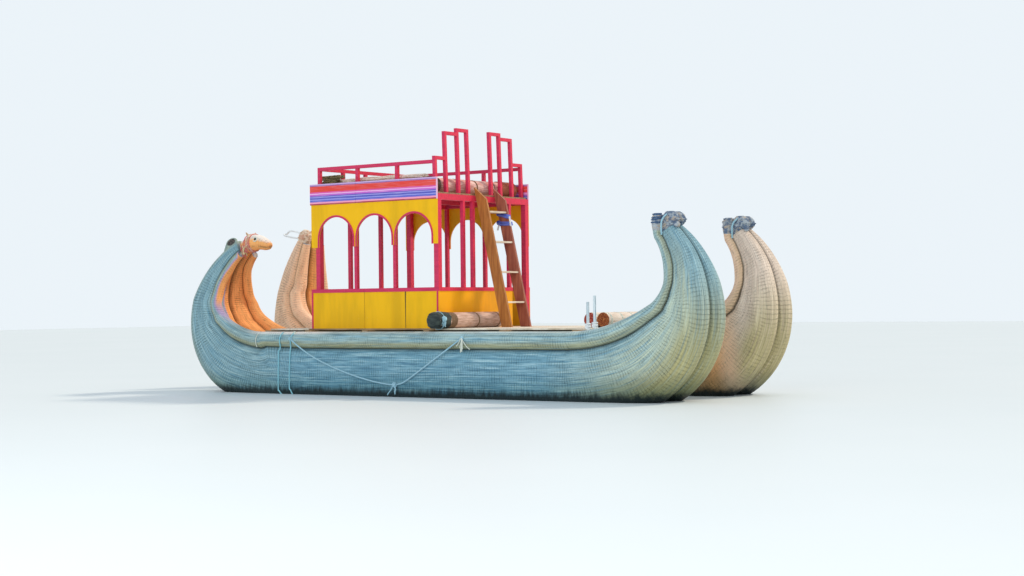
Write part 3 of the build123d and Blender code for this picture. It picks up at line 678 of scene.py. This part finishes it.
def roll_tint(side, place):
    def tint(points, normals, given):
        x, _, z = points.T
        bow, stern = shares(x)
        # Olive on the lower half, painted shade along the bottom where the roll sits on its bundle, and a
        # painted highlight along its top.
        olive = step(given, 0.05, -0.55) * 0.8 * (1 - 0.3 * bow)
        dark = step(given, -0.8, -0.97) * 0.85
        white = step(given, 0.72, 0.98) * 0.35 * (1 - stern)
        if side == "starboard":
            # Cream, partly painted light on faces turned to port; a painted highlight along the top
            # amidships; painted warm sunlight on the stern's faces turned towards the bow.
            cream = np.maximum(0.46 + 0.12 * bow, step(normals[:, 1], 0.05, 0.55))
            white += step(x, -1.6, -2.2) * step(x, -3.7, -3.3) * step(given, 0.55, 0.9) * 0.8
            warm = stern * step(normals[:, 0], 0.15, 0.8) * (0.42 + 0.55 * step(z, 1.6, 2.1))
            if place == "inner":
                warm = stern * 0.95
        else:
            cream = 0.4
            # Painted warm sunlight at the stern and the bow.
            warm = stern * (0.4 + 0.16 * step(z, 1.8, 2.5)) + bow * 0.25
        return (olive, dark, warm), (cream, white, 0.4)
    return tint


def bundle_skin(side, place, rows, slot):
    loops, given = [], []
    for x, z, ux, uz, deep, width, roll in rows:
        depth = deep - SEAT * roll
        outline = bundle_outline(depth, width)
        loops.append([(x + ux * up, hull_y(side, place, across), z + uz * up) for across, up in outline])
        for across, up in outline:
            # Painted shade: dark where the bundle meets its roll and at the seam between the twin bundles.
            gap = hypot(across - (width + OVERHANG - roll), up - (deep - roll)) - roll
            dark = max(min(1 - gap / 0.03, 1) * 0.9, (1 - across / 0.05) * 0.75, 0)
            given.append(round(1000 * max(0, min(1, up / depth))) + min(dark, 0.99))
    skin(f"{side}_{place}_reeds", loops, REEDS[side], slot, f"{side}_{place}_bundle",
         tint=bundle_tint(side, place), given=given)


def roll_rings(rows):
    """Circles of a gunwale roll as (x, z, up x, up z, across, radius), with its bow tip."""
    rings = [(x + ux * (deep - roll), z + uz * (deep - roll), ux, uz, width + OVERHANG - roll, roll)
             for x, z, ux, uz, deep, width, roll in rows]
    x, z, ux, uz, across, roll = rings[-1]
    tip = [(x + ahead, z + up, -1, 0, across, roll * share) for ahead, up, share in ROLL_TIP]
    return rings[:-1] + [tuple(row) for row in smooth_rows(rings[-1:] + tip, 3)]


def roll_skin(side, place, rows, slot, lengths):
    rings = roll_rings(rows)
    loops, given = [], []
    for x, z, ux, uz, across, radius in rings:
        loop = []
        for t in turns(28):
            up = radius * sin(t) / hypot(ux, uz)
            loop.append((x + ux * up, hull_y(side, place, across + radius * cos(t)), z + uz * up))
            given.append(sin(t))
        loops.append(loop)
    last = len(rings) - 1
    nodes = [f"{side}_{place}_roll{length}" for length in lengths]
    skin(f"{side}_{place}_gunwale", loops, REEDS[side] + " bound_ends", slot, *nodes,
         tint=roll_tint(side, place), given=given, second=range(last - TIP_ROWS, last))


def make_hulls():
    bow_rows = stations(BOW, KEEL_BOW, GUNWALE_BOW)
    hulls = {
        "starboard": whole_hull(stations(STERN, KEEL_STERN, GUNWALE_STERN), bow_rows),
        "port": whole_hull(stations(PORT_STERN, KEEL_PORT_STERN, GUNWALE_PORT_STERN), bow_rows),
    }
    for side, rows in hulls.items():
        for place, lengths in (("outer", ("",)), ("inner", ("_fore", "_middle", "_aft"))):
            # Slot names are the part's; the starboard hull's look is the shaded reed, painted shade.
            slot = "reed_weathered" if (side, place) == ("starboard", "outer") else "reed_straw"
            bundle_skin(side, place, rows, slot)
            roll_skin(side, place, rows, slot, lengths)
    return hulls


# Knobs and bindings at the ends

def middle_of(row):
    """The middle of a bundle's section as x and z, and half its depth."""
    x, z, ux, uz, deep, width, roll = row
    tall = (deep - SEAT * roll) / 2
    return x + ux * tall, z + uz * tall, tall


def outside(loop):
    centre = np.mean(loop, axis=0)
    return centre + (np.array(loop) - centre) * 1.03


def knob_loops(row, table, flip, y, sign):
    """Loops of one knob past a hull's last section."""
    x, z, tall = middle_of(row)
    width = row[5]
    rows = [(x, z, row[2], row[3], 0.45 * width, 0.94 * tall)]
    for ahead, up, lean, wide, high in table:
        angle = radians(lean)
        rows.append((x + flip * ahead, z + up, -flip * cos(angle), -sin(angle),
                     width / 2 * wide, tall * high))
    loops = []
    for cx, cz, vx, vz, wide, high in smooth_rows(rows, 4):
        loop = []
        for t in turns(24):
            rough = 1 + 0.035 * sin(9 * t + cz * 60) + 0.02 * uniform(-1, 1)
            up = high * sin(t) * rough / hypot(vx, vz)
            across = width / 2 + wide * cos(t) * rough * 0.96
            loop.append((cx + vx * up, y + sign * across, cz + vz * up))
        loops.append(loop)
    return loops


def make_knobs(hulls):
    for side, end in (("starboard", -1), ("port", -1), ("port", 0)):
        table, flip, look = (BOW_KNOB, 1, "bound_ends") if end else (STERN_KNOB, -1, "pale_bound_ends")
        node = side + ("_bow_knobs" if end else "_stern_knobs")
        wraps = []
        for number, sign in enumerate((-1, 1)):
            loops = knob_loops(hulls[side][end], table, flip, SIGN[side] * HULL_Y, sign)
            skin(f"{node}_{number}", loops, look, "reed_straw", node)
            wraps += [outside(loops[index]) for index in (3, 5, 8)]
        tie(node + "_wraps", wraps, 0.009, look)


def bow_bindings(hulls):
    """Cord round the bound tips of the rolls, the knots on the bundles and the line beside them."""
    for side, sign in SIGN.items():
        rings = roll_rings(hulls[side])[-TIP_ROWS - 1:]
        wraps = []
        for place in ("outer", "inner"):
            for index in (4, 6, 7, 9, 10):
                x, z, _, _, across, radius = rings[index]
                tilt = uniform(-0.12, 0.12)
                wraps.append(ring_path((x, hull_y(side, place, across), z), (tilt, tilt, 1), radius * 1.03))
        tie(side + "_tip_wraps", wraps, 0.01, "cord_dark" if side == "starboard" else "bound_ends")
        near = sign * HULL_Y - 0.115
        knots = ((4.47, 2.955, 0.062), (4.565, 2.885, 0.058), (4.4, 3, 0.05))
        for number, (x, z, size) in enumerate(knots):
            knot(f"{side}_knot_{number}", (x, near, z), size, "bound_ends")
        line = [(4.44, near - 0.06, 3.035), (4.405, near - 0.1, 2.985), (4.385, near - 0.12, 2.92),
                (4.38, near - 0.12, 2.83), (4.372, near - 0.1, 2.74)]
        tie(side + "_tip_line", [smooth_rows(line, 4)], 0.013, "cord_blue", False)


# Head at the starboard stern

# Places on the head are measured in from the stern's end
STERN_X = -HALF
HEAD_Y = -HULL_Y
HEAD_SIDES = 40
HEAD = [
    # in, z, pitch, half width, half depth
    (1.145, 2.868, 12, .14, .145), (1.26, 2.878, 2, .145, .129), (1.37, 2.862, -10, .1325, .114),
    (1.465, 2.83, -16, .11, .094), (1.53, 2.81, -16, .0825, .067), (1.56, 2.801, -16, .0425, .035)]


def dent(value, place, width):
    return exp(-((value - place) / width) ** 2)


def head_loops(rows):
    """Loops of the head, with painted shade along its mouth."""
    loops, given = [], []
    for inward, z, pitch, wide, tall in rows:
        angle = radians(pitch)
        loop = []
        for t in turns(HEAD_SIDES):
            side, up = cos(t), sin(t)
            brow = 0.1 * dent(inward, 1.3, 0.05) * max(0, up) * abs(side) * 2
            jaw = -0.16 * dent(up, -0.42, 0.1) * step(inward, 1.36, 1.46)
            cheek = 0.05 * dent(inward, 1.2, 0.06) * abs(side)
            scale = 1 + brow + jaw + cheek
            loop.append((STERN_X + inward - sin(angle) * tall * up * scale,
                         HEAD_Y + wide * side * scale, z + cos(angle) * tall * up * scale))
            given.append(0.75 * dent(up, -0.42, 0.09) * float(step(inward, 1.38, 1.44)))
        loops.append(loop)
    return loops, given


def head_tint(points, normals, given):
    # Painted warm light on faces not turned up and on the snout, a painted highlight on faces turned up, and
    # painted shade along the mouth from the given numbers.
    warm = step(normals[:, 2], 0.75, 0) * 0.85 + 0.1
    warm = np.clip(warm + step(points[:, 0], STERN_X + 1.42, STERN_X + 1.5) * 0.5, 0, 1)
    return (0, given, warm), (0.7, step(normals[:, 2], 0.3, 0.85) * 0.75, 0.25)


def make_head(hulls):
    row = hulls["starboard"][0]
    x, z, tall = middle_of(row)
    neck = (x - STERN_X, z, degrees(atan2(row[2], -row[3])), 0.125, 0.96 * tall)
    rows = smooth_rows([neck] + HEAD, 7)
    loops, given = head_loops(rows)
    skin("head", loops, "reed_lit", "reed_straw", "starboard_stern_head", tint=head_tint, given=given)
    eyes, ears = [], []
    for sign in (-1, 1):
        eye = (STERN_X + 1.322, HEAD_Y + sign * 0.128, 2.925)
        eyes.append(ring_path(eye, (0.1, sign, 0.35), 0.036, 20))
        base = Vector((STERN_X + 1.15, HEAD_Y + sign * 0.085, 2.965))
        tip = base + Vector((-0.055, sign * 0.03, 0.085))
        ears.append([base.lerp(tip, k / 6) for k in range(7)])
    tie("eye_rims", eyes, 0.01, "cord_pale")
    tie("ears", ears, np.linspace(0.036, 0.008, 7), "pale_bound_ends", False, 10, "reed_straw")
    ties = []
    for index, lean in ((3, 0.02), (5, -0.03), (7, 0.04), (8, -0.02), (10, 0.02)):
        path = outside(loops[index])
        path[:, 0] += lean * np.sin(turns(HEAD_SIDES))
        ties.append(path)
    tie("neck_ties", ties, 0.008, "cord_pink")
    crown = []
    for inward in (1.13, 1.16, 1.19):
        row = rows[np.argmin(np.abs(rows[:, 0] - inward))]
        centre, size = (STERN_X + inward, HEAD_Y, row[1]), (row[3] * 1.05, row[4] * 1.05)
        crown.append(ring_path(centre, (1, 0, 0.1), size))
    tie("crown_band", crown, 0.009, "pale_bound_ends")
    neck_frays()


def neck_frays():
    for name, look, count in (("neck_fray_pink", "cord_pink", 46), ("neck_fray_pale", "cord_straw", 40)):
        frays = []
        for _ in range(count):
            turn = uniform(-0.9, 2.6)
            x, y = STERN_X + uniform(0.99, 1.12), HEAD_Y - 0.135 * cos(turn)
            start = Vector((x, y, 2.8 + 0.11 * sin(turn)))
            drop = uniform(-0.13, -0.03)
            end = start + Vector((uniform(-0.03, 0.09), uniform(-0.04, 0), drop))
            frays.append(strand(start, end, -0.012, 5))
        tie(name, frays, 0.0075, look, False, 5)
    tag = [(STERN_X + 1.05, HEAD_Y - 0.13, 2.8), (STERN_X + 1.06, HEAD_Y - 0.145, 2.74),
           (STERN_X + 1.07, HEAD_Y - 0.15, 2.67)]
    tie("throat_tag", [smooth_rows(tag, 3)], 0.014, "cord_straw", False)


# Rope along the side

ROPE = [
    # x, drop below the top of the gunwale roll
    (-2.53, 0.115), (-2.365, 0.232), (-2.155, 0.35), (-1.9, 0.465), (-1.615, 0.567), (-1.325, 0.656),
    (-1.035, 0.73), (-0.76, 0.787), (-0.52, 0.823), (-0.33, 0.838), (-0.175, 0.82), (-0.045, 0.765),
    (1.04, 0.1)]
ROPE_Y = -1.681
# Its ends hang in front of it
TAILS_Y = ROPE_Y - 0.02


def rope_curve(points):
    curve = bpy.data.curves.new("side_line", "CURVE")
    curve.dimensions = "3D"
    curve.bevel_depth = 0.012
    curve.bevel_resolution = 3
    curve.resolution_u = 8
    curve.use_fill_caps = True
    spline = curve.splines.new("NURBS")
    spline.points.add(len(points) - 1)
    for point, place in zip(spline.points, points):
        point.co = (*place, 1)
    spline.order_u = 3
    spline.use_endpoint_u = True
    return bpy.data.objects.new("side_line", curve)


def tails(starts, length, spread, lean=0):
    """Loose ends that hang and splay."""
    paths = []
    for start in starts:
        end = (start[0] + lean + uniform(-spread, spread), start[1] - uniform(0, 0.012),
               start[2] - length * uniform(0.6, 1))
        paths.append(strand(start, end, 0, 8, 0.012))
    return paths


def make_rope():
    points = [(x, ROPE_Y, DEPTH - drop) for x, drop in ROPE]
    rope = keep(rope_curve(points), "cord_blue", "rope", "side_rope")
    pieces = [knot("side_line_knot", (-0.3, ROPE_Y, DEPTH - 0.836), 0.046, "cord_blue", "side_rope_knot")]
    for number, (x, y, z) in enumerate((points[0], points[-1])):
        pieces.append(knot(f"side_line_tie_{number}", (x, y + 0.006, z), 0.036, "cord_blue", "rope_ties"))
    hanging = tails([(-0.33, TAILS_Y, 0.5)], 0.2, 0, -0.09)
    hanging += tails([(-0.29, TAILS_Y, 0.49), (-0.28, TAILS_Y, 0.49)], 0.13, 0.01, 0.03)
    tie("knot_tails", hanging, 0.009, "cord_blue", False)
    frayed = tails([(1.04, TAILS_Y, 1.25)] * 5, 0.25, 0.06, 0.02)
    frayed += [strand((1.05, TAILS_Y, 1.25), (1.21, TAILS_Y, 1.08), 0.02)]
    frayed += [strand((1.03, TAILS_Y, 1.24), (0.95, TAILS_Y, 1.13), 0.02)]
    tie("frayed_ends", frayed, 0.0065, "cord_pale", False)


def hull_side(z):
    """How far the starboard hull stands out at a height, as y."""
    cap = 0.53 * BUNDLE
    across = BUNDLE - cap + sqrt(max(cap ** 2 - (cap - min(z, cap)) ** 2, 0))
    lift = z - (DEPTH - ROLL)
    if abs(lift) < ROLL:
        across = max(across * (lift < 0), BUNDLE + OVERHANG - ROLL + sqrt(ROLL ** 2 - lift ** 2))
    return -HULL_Y - across - 0.011


def make_girth_lines():
    """Tight lines down the starboard hull, each through its (x, z) points."""
    paths = [[(x, hull_side(z), z) for x, z in smooth_rows(points, 6)] for points in (
        [(-2.755, 1.335), (-2.763, 1.285), (-2.788, 1.068), (-2.821, 0.99), (-2.837, 0.435),
         (-2.815, 0.369), (-2.76, 0.31)],
        [(-2.505, 1.335), (-2.515, 1.269), (-2.565, 0.971), (-2.588, 0.462), (-2.558, 0.385),
         (-2.515, 0.31)])]
    tie("girth_lines", paths, 0.011, "cord_sky", False)
    knot("girth_knot", (-2.5, -1.6, 1.325), 0.034, "cord_pale")
    short = ((-3.313, 1.335), (-3.315, 1.25), (-3.32, 1.16), (-3.317, 1.096))
    path = [(x, hull_side(z), z) for x, z in short]
    tie("short_line", [smooth_rows(path, 4)], 0.008, "cord_pale", False)


# Seat rolls

FORE_SEAT_X = 0.4
FORE_SEAT_Z = 1.52
FRONT_SEAT_X = -0.015
UPPER_Z = 3.68
EVEN = (0.06, 0.28, 0.5, 0.72, 0.94)


def seat(name, node, start, end, looks, cord="cord_brown", radius=0.125, waists=EVEN):
    """A bound reed roll, uneven and drawn in at its waists, with hollowed ends and its cords."""
    start, end, up = Vector(start), Vector(end), Vector((0, 0, 1))
    length, along = (end - start).length, (end - start).normalized()
    side = along.cross(up).normalized()
    hollow = [(0.035, 0.02), (0.03, 0.3), (0.006, 0.72), (0, 0.93), (0.006, 0.99)]
    rows = hollow + [(0.02 + (length - 0.04) * k / 30, 1) for k in range(31)]
    rows += [(length - distance, share) for distance, share in reversed(hollow)]
    loops = []
    for distance, share in rows:
        pinch = sum(0.055 * dent(distance, waist * length, 0.022) for waist in waists)
        loop = []
        for t in turns(40):
            r = radius * share * (1 - pinch) * (1 - 0.014 - 0.012 * sin(13 * t + 3 * distance))
            loop.append(start + along * distance + side * r * cos(t) + up * r * sin(t))
        loops.append(loop)
    cut = [*range(0, 4), *range(len(loops) - 5, len(loops))]
    skin(name, loops, looks, "reed_seat", node, second=cut)
    rings = []
    for waist in waists:
        for shift in (-0.012, 0.006):
            centre = start.lerp(end, waist) + along * shift
            rings.append(ring_path(centre, along, radius * 0.965, 32, 0.006))
    tie(name + "_cords", rings, 0.006, cord)


def make_seats():
    seat("fore_seat", "fore_deck_seat_roll", (FORE_SEAT_X, -1.55, FORE_SEAT_Z),
         (FORE_SEAT_X, 0.15, FORE_SEAT_Z), "seat_reeds seat_ends",
         waists=(0.19, 0.205, 0.22, 0.24, 0.26, 0.6, 0.93))
    for name, x, look in (("front", FRONT_SEAT_X, "seat_reeds_rose"), ("aft", -2.145, "seat_reeds_brown")):
        seat(name + "_seat", f"upper_{name}_seat_roll", (x, -1.09, UPPER_Z), (x, 1.09, UPPER_Z),
             look + " seat_ends")
    for number, y in enumerate((-1.0025, 1.0025)):
        seat(f"side_seat_{number}", "upper_side_seat_rolls", (-2.015, y, UPPER_Z), (-0.145, y, UPPER_Z),
             "seat_reeds_brown seat_ends")
    for number, (x, ends) in enumerate(((2.75, "red"), (2.985, "rust"))):
        seat(f"bow_seat_{number}", "bow_seat_rolls", (x, -0.7, 1.51), (x, 0.7, 1.51),
             "seat_reeds_pale seat_ends_" + ends, "cord_pale", 0.115)


def make_cover():
    """Dark cloth over the starboard end of the fore deck's seat roll, tied with blue line."""
    loops = []
    for k in range(17):
        loop = []
        for t in turns(40):
            crease = 0.005 * sin(7 * t + 9 * k) + 0.004 * sin(3 * t - 2 * k)
            size = (0.131 + crease + 0.003 * uniform(-1, 1)) * (0.3, 0.74, 0.93, 1)[min(k, 3)]
            loop.append((FORE_SEAT_X + size * cos(t), -1.625 + 0.36 * k / 16,
                         FORE_SEAT_Z + max(size * sin(t), -0.126)))
        loops.append(loop)
    skin("roll_cover", loops, "dark_cloth", "reed_seat")
    line = ring_path((FORE_SEAT_X, -1.44, FORE_SEAT_Z), (0.05, 1, 0.05), 0.139, 28)
    tie("cover_lines", [line], 0.006, "cord_blue")
    knot("cover_knot", (0.53, -1.46, 1.545), 0.052, "cord_blue")
    starts = [(0.535, -1.47, 1.54), (0.535, -1.45, 1.54), (0.53, -1.49, 1.55), (0.53, -1.44, 1.54)]
    tie("cover_tails", tails(starts, 0.13, 0.04), 0.008, "cord_blue", False)


# Small pieces

DECK = 1.395
PIN_Y = -1.525
LADDER_X = 0.75
LADDER_TOP = 3.53
LADDER_RUN = 0.5


def ladder_x(z):
    """The aft edge of the ladder's planks at a height."""
    return LADDER_X - (z - DECK) * LADDER_RUN / (LADDER_TOP - DECK)


def pin_bindings():
    rings = []
    for x, z in ((3.26, DECK), (3.38, DECK + 0.02)):
        for k in range(4):
            lean, wide = (0.1, 0.033) if k % 2 == 0 else (-0.1, 0.037)
            rings.append(ring_path((x, PIN_Y, z + 0.02 * k), (lean, 0.05, 1), wide, 20))
        rings.append(ring_path((x, PIN_Y, z + 0.005), (0.7, 0, 0.7), 0.042, 20))
    tie("pin_lashings", rings, 0.012, "cord_white")


def ladder_cloth():
    """Blue cloth tied round the port plank of the ladder."""
    paths = []
    for z, tilt in ((3.265, -0.05), (3.235, -0.05), (3.105, -0.01), (3.07, 0)):
        corners = ((-0.008, 0.267), (0.1, 0.265), (0.203, 0.267),
                   (0.205, 0.323), (0.1, 0.325), (-0.008, 0.323))
        path = [(ladder_x(z) + ahead, y, z + tilt * ahead / 0.2) for ahead, y in corners]
        paths.append(smooth_rows(path + path[:1], 3)[:-1])
    tie("ladder_cloth", paths, 0.021, "blue_cloth")
    x = ladder_x(3.09)
    knot("ladder_cloth_knot", (x - 0.01, 0.262, 3.1), 0.045, "blue_cloth")
    hanging = [strand((x + 0.205, 0.262, 3.2), (x + 0.235, 0.258, 3.04), 0),
               strand((x, 0.255, 3.07), (x - 0.03, 0.25, 2.98), 0)]
    tie("ladder_cloth_tails", hanging, 0.015, "cord_white", False)


def panel_seams():
    """Dark gaps between the sheets of the low starboard wall, narrower at the foot."""
    for number, (x, wide) in enumerate(((-0.42, 0.011), (-1.28, 0.0015))):
        points = [(x + side * wide, y, z) for y in (-1.2435, -1.2447)
                  for side, z in ((-1, 1.985), (1, 1.985), (0.3, 1.4), (-0.3, 1.4))]
        faces = [[0, 1, 2, 3], [7, 6, 5, 4], [0, 4, 5, 1], [1, 5, 6, 2], [2, 6, 7, 3], [3, 7, 4, 0]]
        keep(mesh_piece(f"panel_seam_{number}", points, faces), "gap_shadow", "paint_yellow")


def stern_cut():
    """The cut end of the starboard outer bundle, beside the head's neck."""
    out = Vector((0.1, -0.78, 0.62)).normalized()
    stem = [
        ((-4.52, -1.13, 2.36), (0.25, 0, 1), 0.1), ((-4.455, -1.13, 2.58), (0.25, -0.03, 1), 0.122),
        ((-4.405, -1.135, 2.74), (0.22, -0.18, 1), 0.126),
        ((-4.38, -1.145, 2.82), (0.18, -0.45, 0.85), 0.122)]
    for depth, size in ((0, 0.112), (0.018, 0.1), (0.02, 0.078), (0.01, 0.07), (-0.01, 0.025)):
        stem.append((Vector((-4.362, -1.168, 2.88)) + out * depth, out, size))
    loops = [ring_path(*row, 32) for row in stem]
    tint = bundle_tint("starboard", "outer")
    skin("stern_cut", loops, "reed_shaded dark_ends", "reed_straw", tint=tint, second=(6, 7))


def seat_wraps():
    """Wraps round both ends of the front roll of the upper deck."""
    for name, lean, size, places, radius, look in (
            ("wraps", (0.03, 1, 0.04), 0.128, np.linspace(-1.085, -0.985, 6), 0.012, "cord_dark_brown"),
            ("rust", (0.05, 1, -0.03), 0.127, np.linspace(0.66, 1.08, 14), 0.013, "cord_rust")):
        rings = [ring_path((FRONT_SEAT_X, y, UPPER_Z), lean, size, 26) for y in places]
        tie("front_seat_" + name, rings, radius, look)


def loose_reeds():
    """Loose reeds that lie along the starboard roll of the upper deck."""
    paths, ends = [], []
    for _ in range(90):
        start = uniform(-2.02, -0.6)
        length = uniform(0.5, 1.1)
        y, z = uniform(-1.07, -0.94), 3.8 + uniform(0, 0.055)
        path = [(start, y, z)]
        for x, spread in ((start + length / 2, 0.02), (min(start + length, -0.16), 0.03)):
            path.append((x, y + uniform(-spread, spread), z + uniform(-0.01, spread)))
        paths.append(smooth_rows(path, 3))
    for _ in range(70):
        start = uniform(-2.4, -2.12)
        z = 3.79 + uniform(0, 0.14)
        y, end_y = uniform(-1.08, -0.95), uniform(-1.09, -0.93)
        ends.append(smooth_rows([(start, y, z), (start + 0.2, end_y, z + 0.01)], 3))
    tie("loose_reeds", paths, 0.007, "seat_reeds_pale", False, 5, "reed_seat")
    tie("loose_reed_ends", ends, 0.011, "seat_reeds_green", False, 5, "reed_seat")


def stern_loop():
    path = [(-5.06, 3.118), (-4.98, 3.16), (-4.8, 3.143), (-4.6, 3.075), (-4.66, 3.02), (-4.85, 3.04),
            (-5.03, 3.085)]
    places = [(x, 0.98 - 0.02 * k, z) for k, (x, z) in enumerate(path)]
    tie("port_stern_loops", [smooth_rows(places + places[:1], 5)[:-1]], 0.016, "cord_white")


# Stage and light

def make_stage():
    place = new_look("floor")
    fill(place.id_data.nodes["Principled BSDF"], {
        "Base Color": mix(noise(place, 0.25, 2), (0.66, 0.73, 0.77), (0.7, 0.76, 0.8)), "Roughness": 0.5})
    corners = [(-90, -90, WATER), (90, -90, WATER), (90, 90, WATER), (-90, 90, WATER)]
    floor = mesh_piece("floor", corners, [[0, 1, 2, 3]])
    link(floor)
    floor.data.materials.append(LOOKS["floor"])
    # Pale sky, which the camera and reflections see brighter than it lights the boat
    world = bpy.data.worlds.new("world")
    scene.world = world
    world.use_nodes = True
    path = world.node_tree.nodes.new("ShaderNodeLightPath").outputs
    seen = math_node("MAXIMUM", path["Is Camera Ray"], path["Is Glossy Ray"])
    seen = math_node("MAXIMUM", seen, path["Is Transmission Ray"])
    fill(world.node_tree.nodes["Background"], {
        "Color": (0.88, 0.95, 1), "Strength": plus(times(seen, BACKDROP - SKY), SKY)})


def make_lamp(name, kind, place, direction, power, color, **settings):
    data = bpy.data.lights.new(name, kind)
    data.energy = power
    data.color = color
    for key, value in settings.items():
        setattr(data, key, value)
    lamp = bpy.data.objects.new(name, data)
    lamp.location = place
    lamp.rotation_euler = Vector(direction).to_track_quat("-Z", "Y").to_euler()
    link(lamp)


def make_light():
    make_lamp("sun", "SUN", (0, 0, 0), (-0.42, -0.66, -0.7), 2.1, (1, 0.87, 0.7), angle=radians(7))
    make_lamp("fill", "AREA", (9.8, -29.5, 10.5), (-9.8, 29.5, -9), 2420, (0.95, 0.97, 1),
              shape="DISK", size=14.8)
    scene.view_settings.view_transform = "Standard"


# CAD nodes that stay

# Looks by node or by material slot, where they aren't named like the slot
OTHER_LOOKS = {"thole_pins": "pin_timber", "timber_plain": "timber", "eye_dark": "eye_paint"}


def finish_nodes():
    for part in frame["record"]["subparts"]:
        node, look = part["node"], part["material_slot"]
        look = OTHER_LOOKS.get(node) or OTHER_LOOKS.get(look, look)
        if look in LOOKS:
            for slot in frame["nodes"][node].material_slots:
                slot.material = LOOKS[look]


make_camera()
hulls = make_hulls()
make_knobs(hulls)
bow_bindings(hulls)
make_head(hulls)
make_rope()
make_girth_lines()
make_seats()
make_cover()
pin_bindings()
ladder_cloth()
panel_seams()
stern_cut()
seat_wraps()
stern_loop()
loose_reeds()
finish_nodes()
make_stage()
make_light()
